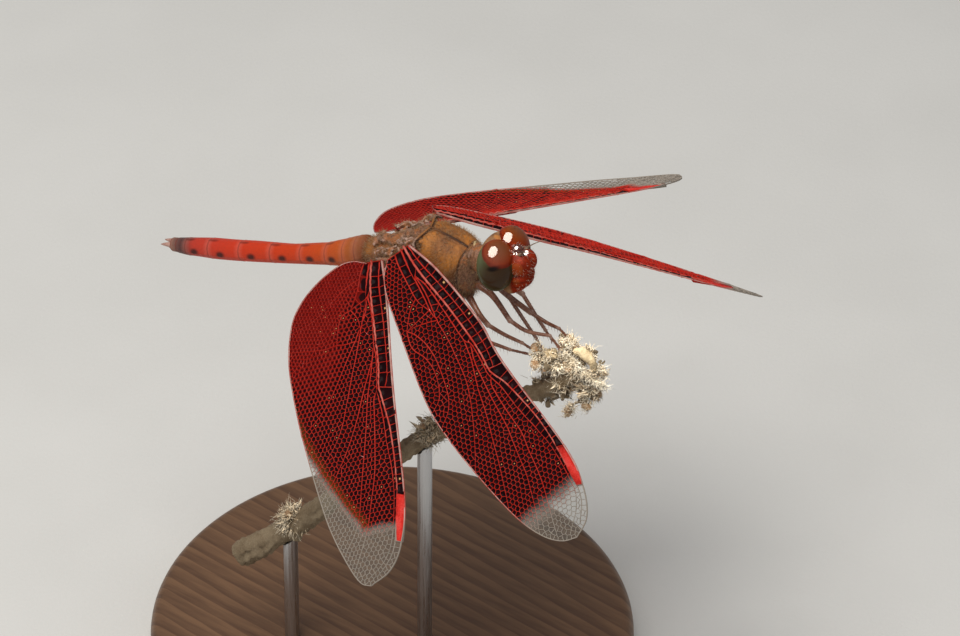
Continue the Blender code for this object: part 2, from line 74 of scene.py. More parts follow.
def placed(points, matrix):
    """An array of points in millimetres, moved to the world by a matrix."""
    m = np.array(matrix)
    return np.asarray(points, float) @ m[:3, :3].T + m[:3, 3]


# %% Adding a piece
def add_piece(name, points, faces, materials, slot, matrix=BODY, kinds=None, uvs=None,
              values=None):
    """One visible mesh. kinds is a material number for each face, uvs a map name with a pair for
    each corner, and values a name with a number for each point."""
    mesh = bpy.data.meshes.new(name)
    mesh.from_pydata(placed(points, matrix).tolist(), [], faces)
    for material in materials:
        mesh.materials.append(material)
    if kinds is not None:
        mesh.polygons.foreach_set("material_index", np.asarray(kinds, np.int32))
    mesh.shade_smooth()
    for label, pairs in (uvs or {}).items():
        layer = mesh.uv_layers.new(name=label)
        layer.data.foreach_set("uv", np.asarray(pairs, np.float32).ravel())
    for label, numbers in (values or {}).items():
        attribute = mesh.attributes.new(label, "FLOAT", "POINT")
        attribute.data.foreach_set("value", np.asarray(numbers, np.float32))
    mesh.update()
    obj = bpy.data.objects.new(name, mesh)
    bpy.context.scene.collection.objects.link(obj)
    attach(obj, "root")
    return obj


# %% [markdown]
# ## Camera, floor and light
#
# A long lens looks down at the dragonfly from its right, over a plain pale floor. A warm disc above
# is the main light and a broad box fills the shadows. Two more discs are linked to a few pieces
# only: one to the eyes and the face, for their glints, and one to the dry flower heads, to make
# them glow like straw. A stronger main light would do both too, but bleach the body and the wings.

# %% Camera
VIEW_AZIMUTH = math.radians(-53.38)
VIEW_ELEVATION = math.radians(38.0)
VIEW_DISTANCE = 400.0
VIEW_BACK = Vector((math.sin(VIEW_AZIMUTH) * math.cos(VIEW_ELEVATION),
                    -math.cos(VIEW_AZIMUTH) * math.cos(VIEW_ELEVATION), math.sin(VIEW_ELEVATION)))
VIEW_RIGHT = Vector((math.cos(VIEW_AZIMUTH), math.sin(VIEW_AZIMUTH), 0.0))
VIEW_UP = VIEW_BACK.cross(VIEW_RIGHT)

lens = bpy.data.cameras.new("camera")
lens.lens = 192.75
lens.sensor_width = 36.0
lens.shift_x, lens.shift_y = 0.0584, -0.0627
lens.clip_start, lens.clip_end = 0.01, 10.0
lens.dof.use_dof = False
camera = bpy.data.objects.new("camera", lens)
camera.matrix_world = (Matrix.Translation((BODY_AT + VIEW_BACK * VIEW_DISTANCE) * MM)
                       @ Matrix((VIEW_RIGHT, VIEW_UP, VIEW_BACK)).transposed().to_4x4())
bpy.context.scene.collection.objects.link(camera)
bpy.context.scene.camera = camera


# %% Material helpers
def new_material(name):
    """A material, with its node tree and its main shader."""
    material = bpy.data.materials.new(name)
    material.use_nodes = True
    return material, material.node_tree, material.node_tree.nodes["Principled BSDF"]


def fill_inputs(tree, node, inputs):
    """Gives a node its inputs; each one is a value or another node's output."""
    for key, value in inputs.items():
        if isinstance(value, bpy.types.NodeSocket):
            tree.links.new(value, node.inputs[key])
        else:
            node.inputs[key].default_value = value


def add_node(tree, kind, inputs=None, **settings):
    """A shader node of a kind, with its settings and its inputs."""
    node = tree.nodes.new("ShaderNode" + kind)
    for key, value in settings.items():
        setattr(node, key, value)
    fill_inputs(tree, node, inputs or {})
    return node


def maths(tree, operation, a, b=0.0, clamp=False):
    return add_node(tree, "Math", {0: a, 1: b}, operation=operation, use_clamp=clamp).outputs[0]


def times(tree, a, b):
    return maths(tree, "MULTIPLY", a, b)


def plus(tree, a, b):
    return maths(tree, "ADD", a, b)


def minus(tree, a, b):
    return maths(tree, "SUBTRACT", a, b)


def most(tree, a, b):
    return maths(tree, "MAXIMUM", a, b)


def blend(tree, factor, a, b):
    """Colour a where factor is 0 and colour b where it is 1."""
    node = add_node(tree, "Mix", {0: factor}, data_type="RGBA")
    for socket, value in ((node.inputs[6], a), (node.inputs[7], b)):
        if isinstance(value, bpy.types.NodeSocket):
            tree.links.new(value, socket)
        else:
            socket.default_value = (*value, 1.0)
    return node.outputs[2]


def tint(tree, mask, amount, colour, other):
    """The colour, with an amount of another one where the mask is 1."""
    return blend(tree, times(tree, mask, amount), colour, other)


def split(tree, vector):
    return add_node(tree, "SeparateXYZ", {0: vector}).outputs


def object_place(tree):
    return add_node(tree, "TexCoord").outputs["Object"]


def bumped(tree, height, distance, strength, invert=False):
    """The normal of a height map, its distance in metres."""
    return add_node(tree, "Bump", {"Height": height, "Distance": distance,
                                   "Strength": strength}, invert=invert).outputs[0]


def soft_step(tree, value, low, high):
    return add_node(tree, "MapRange", {0: value, 1: low, 2: high},
                    interpolation_type="SMOOTHSTEP").outputs[0]


def connect(tree, shader, **values):
    """Sets or links the main shader's inputs, named with _ for a space."""
    fill_inputs(tree, shader, {key.replace("_", " "): (*value, 1.0) if isinstance(value, tuple)
                               else value for key, value in values.items()})


def use_group(tree, group, **inputs):
    node = tree.nodes.new("ShaderNodeGroup")
    node.node_tree = group
    fill_inputs(tree, node, inputs)
    return node.outputs


def new_group(name, inputs, outputs):
    """A node group with named sockets, and its two end nodes."""
    group = bpy.data.node_groups.new(name, "ShaderNodeTree")
    for label, kind, value in inputs:
        socket = group.interface.new_socket(label, in_out="INPUT", socket_type=kind)
        if value is not None:
            socket.default_value = value
    for label, kind in outputs:
        group.interface.new_socket(label, in_out="OUTPUT", socket_type=kind)
    return (group, group.nodes.new("NodeGroupInput").outputs,
            group.nodes.new("NodeGroupOutput").inputs)


# %% Shared groups: place on the body, speckle and grain
def make_place_group(name, matrix):
    """Coordinates in millimetres in the frame of a matrix that goes from it to the world."""
    group, _, out = new_group(name, [], [("Place", "NodeSocketVector")])
    spot = object_place(group)
    at, turn, size = matrix.decompose()
    mapping = add_node(group, "Mapping", {"Vector": spot, "Location": at,
                       "Rotation": turn.to_euler(), "Scale": size}, vector_type="TEXTURE")
    group.links.new(mapping.outputs[0], out["Place"])
    return group


def make_mottle_group():
    """Two sizes of noise: a soft patchiness and a fine speckle, both from 0 to 1."""
    group, given, out = new_group(
        "Mottle", [("Place", "NodeSocketVector", None), ("Scale", "NodeSocketFloat", 1.0)],
        [("Patches", "NodeSocketFloat"), ("Speckle", "NodeSocketFloat")])
    for label, factor, detail in (("Patches", 0.6, 3.0), ("Speckle", 5.0, 4.0)):
        scale = times(group, given["Scale"], factor)
        noise = add_node(group, "TexNoise", {"Vector": given["Place"], "Scale": scale,
                         "Detail": detail, "Roughness": 0.6})
        spread = soft_step(group, noise.outputs[0], 0.3, 0.7)
        group.links.new(spread, out[label])
    return group


def make_grain_group():
    """A bump from fine noise: Grain is the size of the grains per millimetre, Depth in metres."""
    group, given, out = new_group(
        "Grain", [("Place", "NodeSocketVector", None), ("Grain", "NodeSocketFloat", 10.0),
                  ("Depth", "NodeSocketFloat", 0.00002), ("Strength", "NodeSocketFloat", 0.6)],
        [("Normal", "NodeSocketVector")])
    noise = add_node(group, "TexNoise", {"Vector": given["Place"],
                     "Scale": given["Grain"], "Detail": 3.0, "Roughness": 0.55})
    bump = bumped(group, noise.outputs[0], given["Depth"], given["Strength"])
    group.links.new(bump, out["Normal"])
    return group


BODY_PLACE = make_place_group("Body place", BODY)
HEAD_PLACE = make_place_group("Head place", HEAD)
MOTTLE = make_mottle_group()
GRAIN = make_grain_group()


def new_surface(name, place_group, scale):
    """A material with its place in millimetres and its mottle of a scale."""
    material, tree, shader = new_material(name)
    place = use_group(tree, place_group)["Place"]
    return material, tree, shader, place, use_group(tree, MOTTLE, Place=place, Scale=scale)


def grain(tree, place, size, depth, strength=0.6):
    """The normal of a fine grain: its size per millimetre and its depth in metres."""
    return use_group(tree, GRAIN, Place=place, Grain=size, Depth=depth, Strength=strength)["Normal"]


# %% Floor and light
def make_floor():
    bm = bmesh.new()
    bmesh.ops.create_grid(bm, x_segments=24, y_segments=24, size=1.2)
    mesh = bpy.data.meshes.new("floor")
    bm.to_mesh(mesh)
    bm.free()
    material, tree, shader = new_material("floor")
    spot = object_place(tree)
    mottle = use_group(tree, MOTTLE, Place=spot, Scale=60.0)
    colour = blend(tree, mottle["Patches"], (0.78, 0.77, 0.74), (0.82, 0.81, 0.78))
    connect(tree, shader, Base_Color=colour, Roughness=0.8,
            Normal=grain(tree, spot, 3000.0, 0.00005))
    mesh.materials.append(material)
    floor = bpy.data.objects.new("floor", mesh)
    bpy.context.scene.collection.objects.link(floor)


def add_softbox(name, towards, distance, size, watts, colour=(1.0, 1.0, 1.0), shape="SQUARE"):
    """An area light that looks at the dragonfly from a direction."""
    data = bpy.data.lights.new(name, "AREA")
    data.shape = shape
    data.size = size
    data.energy = watts
    data.color = colour
    light = bpy.data.objects.new(name, data)
    way = Vector(towards).normalized()
    light.matrix_world = (Matrix.Translation(BODY_AT * MM + way * distance)
                          @ way.to_track_quat("Z", "Y").to_matrix().to_4x4())
    bpy.context.scene.collection.objects.link(light)
    return light


make_floor()
world = bpy.data.worlds.new("studio")
world.use_nodes = True
world.node_tree.nodes["Background"].inputs["Color"].default_value = (0.95, 0.97, 1.0, 1.0)
world.node_tree.nodes["Background"].inputs["Strength"].default_value = 0.27
bpy.context.scene.world = world
KEY_WAY = (-0.29, 0.06, 0.94)
add_softbox("key", KEY_WAY, 0.3, 0.24, 0.75, (1.0, 0.97, 0.92), "DISK")
add_softbox("fill", (-0.75, -0.55, 0.35), 1.2, 1.2, 1.2)
catch = add_softbox("catchlight", KEY_WAY, 0.28, 0.34, 20.0, (1.0, 0.90, 0.78), "DISK")
catch.visible_diffuse = False
CATCHLIT = bpy.data.collections.new("catchlit")
catch.light_linking.receiver_collection = CATCHLIT
straw_lamp = add_softbox("straw_lamp", KEY_WAY, 0.3, 0.12, 1.7, (1.0, 0.95, 0.84), "DISK")
STRAWLIT = bpy.data.collections.new("strawlit")
straw_lamp.light_linking.receiver_collection = STRAWLIT

bpy.context.scene.view_settings.view_transform = "Standard"

# %% [markdown]
# ## Skins, hairs and blades
#
# Flesh is one skin over many named balls, tubes and lofts. Separate shapes would show their seams,
# so they are fused by a voxel remesh and smoothed. Hairs and dry bracts are small solids, made in
# one go from their roots, because a close view looks between them.

# %% Smooth routes
def smooth_line(points, step):
    """Points about a step apart on a curve through the given points, in two or three dimensions."""
    pts = np.array(points, float)
    pts = np.vstack([2 * pts[0] - pts[1], pts, 2 * pts[-1] - pts[-2]])
    fine = []
    for a, b, c, d in zip(pts, pts[1:], pts[2:], pts[3:]):
        for t in np.arange(0, 1, 1 / 12):
            fine.append(0.5 * (2 * b + (c - a) * t + (2 * a - 5 * b + 4 * c - d) * t * t
                               + (3 * b - 3 * c + d - a) * t ** 3))
    fine.append(pts[-2])
    fine = np.array(fine)
    run = np.concatenate([[0], np.cumsum(np.linalg.norm(np.diff(fine, axis=0), axis=1))])
    goals = np.linspace(0, run[-1], max(2, int(round(run[-1] / step)) + 1))
    return np.stack([np.interp(goals, run, fine[:, k]) for k in range(fine.shape[1])], axis=1)


# %% Shapes for the skins
def ball(centre, radii, turn=(0, 0, 0), segments=32, rings=20):
    """Points and faces of an ellipsoid, turned by degrees about its own middle."""
    bm = bmesh.new()
    bmesh.ops.create_uvsphere(bm, u_segments=segments, v_segments=rings, radius=1.0)
    bm.transform(Matrix.LocRotScale(Vector(centre), Euler([math.radians(a) for a in turn]),
                                    Vector(radii)))
    points = np.array([v.co for v in bm.verts])
    faces = [[v.index for v in f.verts] for f in bm.faces]
    bm.free()
    return points, faces


def sweep_rings(rings):
    """Points and faces of a closed skin over rings with equal counts."""
    count = len(rings[0])
    points = np.vstack(rings)
    faces = []
    for k in range(len(rings) - 1):
        for i in range(count):
            j = (i + 1) % count
            faces.append([k * count + i, k * count + j, (k + 1) * count + j, (k + 1) * count + i])
    faces.append(list(range(count))[::-1])
    faces.append([(len(rings) - 1) * count + i for i in range(count)])
    return points, faces


def frames_along(path):
    """Two unit vectors across a path at each of its points, with little twist."""
    tangent = np.gradient(path, axis=0)
    tangent /= np.linalg.norm(tangent, axis=1)[:, None]
    guide = np.array([0.0, 0.0, 1.0]) if abs(tangent[0][2]) < 0.8 else np.array([0.0, 1.0, 0.0])
    first = []
    for t in tangent:
        guide = guide - t * np.dot(guide, t)
        guide = guide / np.linalg.norm(guide)
        first.append(guide)
    first = np.array(first)
    return tangent, first, np.cross(tangent, first)


def rod(route, radii, step=0.12, sides=14, ripple=None):
    """A tube along a smooth route; radii are read evenly along it, ripple(t, angle) scales it."""
    path = smooth_line(route, step)
    _, u, v = frames_along(path)
    rings = []
    angles = np.linspace(0, math.tau, sides, endpoint=False)
    for k, spot in enumerate(path):
        t = k / (len(path) - 1)
        radius = np.interp(t, np.linspace(0, 1, len(radii)), radii)
        grow = np.array([ripple(t, a) for a in angles]) if ripple else np.ones(sides)
        rings.append(spot + (radius * grow)[:, None] * (np.cos(angles)[:, None] * u[k]
                                                        + np.sin(angles)[:, None] * v[k]))
    return sweep_rings(rings)


def join(shapes):
    points, faces, shift = [], [], 0
    for p, f in shapes:
        points.append(p)
        faces += [[i + shift for i in face] for face in f]
        shift += len(p)
    return np.vstack(points), faces


def fuse(shapes, voxel, smoothing):
    """One closed skin over the shapes, with its normals."""
    points, faces = join(shapes)
    mesh = bpy.data.meshes.new("fuse")
    mesh.from_pydata(points.tolist(), [], faces)
    helper = bpy.data.objects.new("fuse", mesh)
    bpy.context.scene.collection.objects.link(helper)
    remesh = helper.modifiers.new("remesh", "REMESH")
    remesh.mode, remesh.voxel_size = "VOXEL", voxel
    smooth = helper.modifiers.new("smooth", "SMOOTH")
    smooth.factor, smooth.iterations = 0.5, smoothing
    graph = bpy.context.evaluated_depsgraph_get()
    fused = bpy.data.meshes.new_from_object(helper.evaluated_get(graph))
    bpy.data.objects.remove(helper, do_unlink=True)
    count = len(fused.vertices)
    co, normal = np.empty(count * 3), np.empty(count * 3)
    fused.vertices.foreach_get("co", co)
    fused.vertex_normals.foreach_get("vector", normal)
    faces = [list(p.vertices) for p in fused.polygons]
    return co.reshape(-1, 3), normal.reshape(-1, 3), faces


def line_gap(points, route):
    """Distance of each point from a smooth route."""
    path = smooth_line(route, 0.08)
    best = np.full(len(points), 1e9)
    for a, b in zip(path, path[1:]):
        way = b - a
        t = np.clip((points - a) @ way / (way @ way), 0, 1)
        best = np.minimum(best, np.linalg.norm(points - (a + t[:, None] * way), axis=1))
    return best


def fade(distance, near, far):
    """1 up to near, 0 from far on."""
    t = np.clip((far - distance) / (far - near), 0, 1)
    return t * t * (3 - 2 * t)


def cavity(points, normals, faces, rounds=6, reach=0.05):
    """0.5 on flat skin, towards 1 in its hollows and towards 0 on its ridges."""
    pairs = np.array([(f[i], f[(i + 1) % len(f)]) for f in faces for i in range(len(f))])
    count = np.bincount(pairs[:, 0], minlength=len(points))[:, None].clip(1)
    spread = points
    for _ in range(rounds):
        total = np.stack([np.bincount(pairs[:, 0], spread[pairs[:, 1], k], minlength=len(points))
                          for k in range(3)], axis=1)
        spread = total / count
    rise = ((spread - points) * normals).sum(axis=1)
    return np.clip(0.5 + 0.5 * rise / reach, 0, 1)


# %% Hairs and blades
def blades(name, roots, ways, lengths, width, thick, bend, material, slot, matrix=BODY,
           profile=(1.0, 0.8, 0.5), sides=3, chart=None, curl=0.0, spin=None):
    """Tapered solids that start at the roots: hairs with three sides, or flat blades with four.
    bend moves each tip by a share of its length along a fixed direction or one for each blade."""
    n = len(roots)
    ways = ways / np.linalg.norm(ways, axis=1)[:, None]
    lengths = np.broadcast_to(lengths, n)[:, None]
    bend = np.broadcast_to(bend, (n, 3))
    guide = np.where(np.abs(ways[:, 2:]) < 0.9, [[0.0, 0.0, 1.0]], [[1.0, 0.0, 0.0]])
    u = np.cross(ways, guide)
    u /= np.linalg.norm(u, axis=1)[:, None]
    v = np.cross(ways, u)
    if spin is not None:
        c, s = np.cos(spin)[:, None], np.sin(spin)[:, None]
        u, v = u * c + v * s, v * c - u * s
    levels = len(profile)
    points = []
    width = np.broadcast_to(width, n)[:, None]
    thick = np.broadcast_to(thick, n)[:, None]
    for level, share in enumerate(profile):
        t = level / levels
        middle = roots + ways * lengths * t + bend * lengths * t * t
        middle = middle + v * lengths * curl * math.sin(math.pi * t)
        for i in range(sides):
            angle = math.tau * i / sides
            points.append(middle + u * width * share * math.cos(angle)
                          + v * thick * share * math.sin(angle))
    points.append(roots + ways * lengths + bend * lengths)
    each = levels * sides + 1
    points = np.stack(points, axis=1).reshape(-1, 3)
    pattern = [[0, 2, 1]] if sides == 3 else [[0, 3, 2], [0, 2, 1]]
    for level in range(levels - 1):
        for i in range(sides):
            j = (i + 1) % sides
            a, b = level * sides, (level + 1) * sides
            pattern += [[a + i, a + j, b + j], [a + i, b + j, b + i]]
    top = (levels - 1) * sides
    pattern += [[top + i, top + (i + 1) % sides, each - 1] for i in range(sides)]
    pattern = np.array(pattern)
    faces = (pattern[None] + each * np.arange(n)[:, None, None]).reshape(-1, 3)
    uvs = None
    if chart is not None:
        spread = np.array([(math.cos(math.tau * (k % sides) / sides) * (1 - (k // sides) / levels),
                            math.sin(math.tau * (k % sides) / sides) * (1 - (k // sides) / levels))
                           for k in range(each)]) * 0.0014
        spread[-1] = 0
        corner = (chart[:, None] + spread[None]).reshape(-1, 2)
        uvs = {"OFBake": corner[faces.ravel()]}
    return add_piece(name, points, faces.tolist(), [material], slot, matrix, uvs=uvs)


def scatter(points, faces, weight, count, rng):
    """Places and normals spread over a skin, thicker where weight is larger."""
    quads = np.array([f if len(f) == 4 else [*f, f[0]] for f in faces])
    corner = points[quads]
    cross = np.cross(corner[:, 2] - corner[:, 0], corner[:, 3] - corner[:, 1])
    area = np.linalg.norm(cross, axis=1)
    share = area * weight[quads].mean(1)
    pick = rng.choice(len(quads), count, p=share / share.sum())
    a, b = rng.rand(2, count)[:, :, None]
    spots = ((corner[pick, 0] * (1 - a) + corner[pick, 1] * a) * (1 - b)
             + (corner[pick, 3] * (1 - a) + corner[pick, 2] * a) * b)
    return spots, cross[pick] / area[pick, None]


def round_chart(points, low, high):
    """A cylinder's unwrap along x: where a root lies on the skin."""
    u = 0.02 + 0.96 * (points[:, 0] - low) / (high - low)
    v = 0.5 + 0.96 * np.arctan2(points[:, 1], points[:, 2]) / math.tau
    return np.stack([u, v], axis=1)


# %% [markdown]
# ## The stand
#
# The rods already have the right shape and get brushed steel. The base could keep its plain solid,
# but a rounded edge catches a line of light as turned wood does. So it is turned again just inside
# its solid, in oiled wood.

# %% Stand materials
def make_wood():
    material, tree, shader = new_material("oiled_wood")
    spot = object_place(tree)
    stretched = add_node(tree, "Mapping", {"Vector": spot, "Location": (0.31, 0.02, 0.13),
                         "Rotation": (0.0, 0.0, 0.6), "Scale": (1.0, 0.1, 1.0)}).outputs[0]
    rings = add_node(tree, "TexWave", {"Vector": stretched, "Scale": 300.0,
                     "Distortion": 7.0, "Detail": 4.0, "Detail Scale": 0.6},
                     wave_type="BANDS", bands_direction="X", wave_profile="SAW").outputs["Fac"]
    fibre = add_node(tree, "TexNoise", {"Vector": stretched, "Scale": 2600.0,
                     "Detail": 4.0}).outputs[0]
    tone = plus(tree, times(tree, rings, 0.4), times(tree, fibre, 0.8))
    colour = blend(tree, soft_step(tree, tone, 0.25, 0.95), (0.10, 0.048, 0.024),
                   (0.20, 0.105, 0.052))
    connect(tree, shader, Base_Color=colour, Roughness=0.42,
            Normal=bumped(tree, fibre, 0.00004, 0.5))
    return material


def make_steel():
    material, tree, shader = new_material("brushed_steel")
    spot = object_place(tree)
    drawn = add_node(tree, "Mapping", {"Vector": spot, "Scale": (1.0, 1.0, 0.03)}).outputs[0]
    lines = add_node(tree, "TexNoise", {"Vector": drawn, "Scale": 9000.0,
                     "Detail": 2.0}).outputs[0]
    connect(tree, shader, Base_Color=blend(tree, lines, (0.42, 0.42, 0.43), (0.62, 0.62, 0.63)),
            Metallic=1.0, Roughness=soft_step(tree, lines, -1.0, 3.0))
    return material


steel = make_steel()
for node_name in ("stand_rod_front", "stand_rod_back"):
    rod_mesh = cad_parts[node_name].data
    rod_mesh.materials.clear()
    rod_mesh.materials.append(steel)
    rod_mesh.shade_smooth()
    rod_mesh.set_sharp_from_angle(angle=math.radians(40))


# %% Turning the base
def build_base():
    """A turned disc: a flat underside, a straight side and a rounded upper edge."""
    low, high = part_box("stand_base")
    middle = (np.array(low) + high)[:2] / 2 / MM
    radius, top = 0.4965 * (high[0] - low[0]) / MM, high[2] / MM
    profile = [(0.0, 0.0), (radius - 0.3, 0.0), (radius, 0.3), (radius, top - 1.0)]
    profile += [(radius - 1.0 + math.cos(a), top - 1.0 + math.sin(a))
                for a in np.linspace(0, math.pi / 2, 7)[1:]] + [(0.0, top)]
    sides = 160
    angles = np.linspace(0, math.tau, sides, endpoint=False)
    rings = [np.stack([middle[0] + r * np.cos(angles), middle[1] + r * np.sin(angles),
                       np.full(sides, z)], axis=1) for r, z in profile[1:-1]]
    points, faces = sweep_rings(rings)
    disc = add_piece("stand_disc", points, faces, [make_wood()], "base", Matrix.Scale(MM, 4))
    disc.data.set_sharp_from_angle(angle=math.radians(30))
    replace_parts(disc, "stand_base")
    print("stand disc, mm:", round(2 * radius, 1), "wide and", round(top, 1), "high")


build_base()

# %% [markdown]
# ## Thorax
#
# The synthorax is a tall hairy box of plates with a keel down its front, a dark ridge across in
# front of the wings, and knobbed plates where the wings hinge. All of it is one skin, a little
# inside the solid, with marks for the dark seams, the pale plates and the sides. Painted shade
# makes the lower sides browner and the hollows near black, and a painted highlight pales the ridges.

# %% Thorax skin
THORAX = ((-5.15, 2.2, 0.1, 1.15), (-4.3, 2.35, -0.3, 1.35), (-3.2, 2.25, -0.75, 1.6),
          (-2.0, 2.3, -1.35, 1.85), (-0.7, 2.55, -2.0, 2.1), (0.6, 2.75, -2.75, 2.25),
          (1.7, 3.0, -3.15, 2.35), (2.4, 3.25, -3.3, 2.4), (3.2, 2.85, -3.25, 2.4),
          (4.2, 2.2, -2.9, 2.2), (5.0, 1.6, -2.2, 1.75), (5.55, 1.1, -1.2, 1.0))
COAT_DEPTH = 0.14


def trunk_rings():
    stations = np.array(THORAX)
    rings = []
    sides = 44
    for x in np.linspace(stations[0, 0], stations[-1, 0], sides):
        top, bottom, half = (np.interp(x, stations[:, 0], stations[:, c]) for c in (1, 2, 3))
        # behind the ridge the back sinks between the wings
        if x < 2.3:
            top -= 0.45 * min(1.0, (2.3 - x) / 0.7)
        top, bottom, half = top - COAT_DEPTH, bottom + COAT_DEPTH, half - COAT_DEPTH
        angles = np.linspace(0, math.tau, sides, endpoint=False)
        c, s = np.cos(angles), np.sin(angles)
        rings.append(np.stack([np.full(sides, x), np.sign(c) * np.abs(c) ** (2 / 2.4) * half,
                               (top + bottom) / 2 + np.sign(s) * np.abs(s) ** (2 / 2.4)
                               * (top - bottom) / 2], axis=1))
    return sweep_rings(rings)


KEEL = ((5.35, 0.0, 1.2), (4.6, 0.0, 1.82), (3.6, 0.0, 2.5), (2.85, 0.0, 2.98), (2.5, 0.0, 3.12))


def ridge_route(s):
    return ((2.5, 0.0, 3.1), (2.35, s * 0.6, 3.12), (2.0, s * 1.2, 3.02), (1.75, s * 1.6, 2.85),
            (1.95, s * 2.0, 2.4))


def seam_routes(s):
    return (((2.1, s * 2.2, 2.2), (2.9, s * 2.45, 0.6), (3.9, s * 2.3, -1.2), (4.7, s * 1.6, -2.3)),
            ((0.4, s * 2.1, 1.9), (1.2, s * 2.4, 0.2), (2.2, s * 2.35, -1.5), (3.1, s * 1.5, -2.9)),
            ((-2.6, s * 1.6, 1.2), (-1.2, s * 2.0, -0.2), (0.3, s * 2.1, -1.4),
             (1.6, s * 1.4, -2.9)))


COLLAR_RIDGE = ((5.78, 0.25, 1.24), (5.62, 0.62, 1.18), (5.4, 0.98, 0.98))


def thorax_shapes():
    rng = np.random.RandomState(17)
    shapes = [trunk_rings(), ball((6.05, 0, 0.0), (0.98, 1.08, 1.16)),
              ball((5.75, 0, 0.75), (0.3, 0.85, 0.5), (0, 20, 0)),
              ball((6.45, 0, 0.55), (0.3, 0.75, 0.45), (0, 35, 0)),
              ball((7.0, 0, -0.05), (0.7, 0.5, 0.55)),
              rod(KEEL, (0.07, 0.1, 0.11, 0.12), sides=10),
              rod(COLLAR_RIDGE, (0.06, 0.09, 0.05), sides=10),
              ball((1.35, 0, 2.5), (1.05, 0.8, 0.42)), ball((0.1, 0, 2.35), (0.5, 0.5, 0.4)),
              ball((-0.55, 0, 2.3), (0.3, 0.75, 0.3)), ball((-1.6, 0, 1.95), (0.95, 0.75, 0.36)),
              ball((-2.85, 0, 2.0), (0.45, 0.5, 0.3)), ball((-3.6, 0, 1.95), (0.3, 0.9, 0.28))]
    for s in (-1, 1):
        shapes += [rod(ridge_route(s), (0.1, 0.13, 0.14, 0.13, 0.1), sides=10),
                   # struts of the two wing hinges
                   rod(((1.0, s * 0.8, 2.75), (0.5, s * 1.0, 2.72), (-0.2, s * 0.75, 2.6)),
                       (0.1, 0.14, 0.1), sides=8),
                   rod(((1.9, s * 1.2, 2.95), (1.4, s * 1.55, 3.02), (0.9, s * 1.6, 2.85),
                        (0.5, s * 1.3, 2.7)), (0.1, 0.13, 0.1, 0.08), sides=8),
                   rod(((1.55, s * 1.85, 2.75), (0.9, s * 2.0, 2.5), (0.2, s * 1.9, 2.25),
                        (-0.3, s * 1.5, 2.3)), (0.12, 0.1, 0.12, 0.09), sides=8),
                   rod(((-0.6, s * 1.9, 1.75), (-1.8, s * 2.05, 1.5), (-3.0, s * 1.75, 1.35)),
                       (0.12, 0.16, 0.1), sides=8),
                   rod(((-0.7, s * 1.2, 2.2), (-1.3, s * 1.6, 2.2), (-1.9, s * 1.55, 2.12),
                        (-2.5, s * 1.2, 2.05)), (0.09, 0.12, 0.1, 0.08), sides=8),
                   # hips
                   ball((4.95, s * 0.62, -1.95), (0.55, 0.42, 0.5)),
                   ball((3.6, s * 0.8, -2.75), (0.6, 0.5, 0.5)),
                   ball((2.3, s * 0.9, -2.8), (0.65, 0.5, 0.48))]
        # leaning plates of uneven size between the struts
        for (x, y, z), spread, count in (((1.1, 1.5, 2.72), (0.75, 0.36, 0.14), 15),
                                         ((-1.8, 1.65, 1.92), (1.0, 0.36, 0.14), 18)):
            for _ in range(count):
                spot = rng.normal(0, 0.5, 3) * spread + (x, y, z)
                shapes.append(ball(spot * (1, s, 1),
                                   rng.uniform((0.16, 0.1, 0.06), (0.42, 0.24, 0.16)),
                                   rng.uniform(-50, 50, 3), segments=16, rings=10))
    return shapes


def thorax_skin():
    points, normals, faces = fuse(thorax_shapes(), 0.06, 2)
    x, _, z = points.T
    groove = np.zeros(len(points))
    dark = fade(line_gap(points, KEEL), 0.085, 0.145) * 0.9
    for s in (-1, 1):
        front_of_ridge = np.array(ridge_route(s)) + (0.16, 0.0, -0.02)
        dark = np.maximum(dark, 0.9 * fade(line_gap(points, front_of_ridge), 0.05, 0.15))
        for route in seam_routes(s):
            gap = line_gap(points, route)
            groove = np.maximum(groove, fade(gap, 0.0, 0.16))
            dark = np.maximum(dark, 0.45 * fade(gap, 0.02, 0.18))
    collar_line = fade(line_gap(points, ((4.3, -2.0, -0.9), (4.75, -1.8, 0.0), (5.1, -1.3, 0.75),
                                         (5.3, -0.7, 1.08), (5.4, 0.0, 1.2), (5.3, 0.7, 1.08),
                                         (5.1, 1.3, 0.75), (4.75, 1.8, 0.0))), 0.02, 0.14)
    dark = np.maximum(dark, 0.85 * collar_line)
    groove = np.maximum(groove, collar_line)
    collar = fade(4.75 + 0.6 * np.clip(z, -0.5, 1.0) - x, 0.0, 0.25)
    plates = (fade(2.1 - z + 0.25 * np.maximum(x, 0), 0.0, 0.5) * fade(x, 1.75, 2.15)
              * fade(-x, 3.4, 4.2))
    plates = np.maximum(plates, fade(1.1 - z, 0, 0.5) * fade(x, -0.6, 0.2) * fade(-x, 3.4, 4.4))
    # painted shade: how low a point lies on the side, to brown the lower sides
    low = fade(z, -1.0, 1.2)
    # hollows and ridges, for painted shade in the hollows and a painted highlight on the ridges
    hollow = cavity(points, normals, faces)
    hair = np.clip(1 - 0.3 * plates - 0.6 * dark, 0.05, 1) * fade(x, 5.6, 6.6)
    rough = np.sin(points * 9.0 + 1.3).prod(axis=1) + 0.8 * np.sin(points * 19.0 + 0.4).prod(axis=1)
    points = points + normals * (0.06 * rough * plates - 0.08 * groove)[:, None]
    ridge = fade(line_gap(points, COLLAR_RIDGE), 0.08, 0.16)
    marks = {"dark": dark, "plates": plates, "low": low, "collar": collar, "hollow": hollow,
             "ridge": ridge}
    return points, faces, marks, hair


# %% Thorax materials
def mark(tree, label):
    return add_node(tree, "Attribute", attribute_name=label).outputs["Fac"]


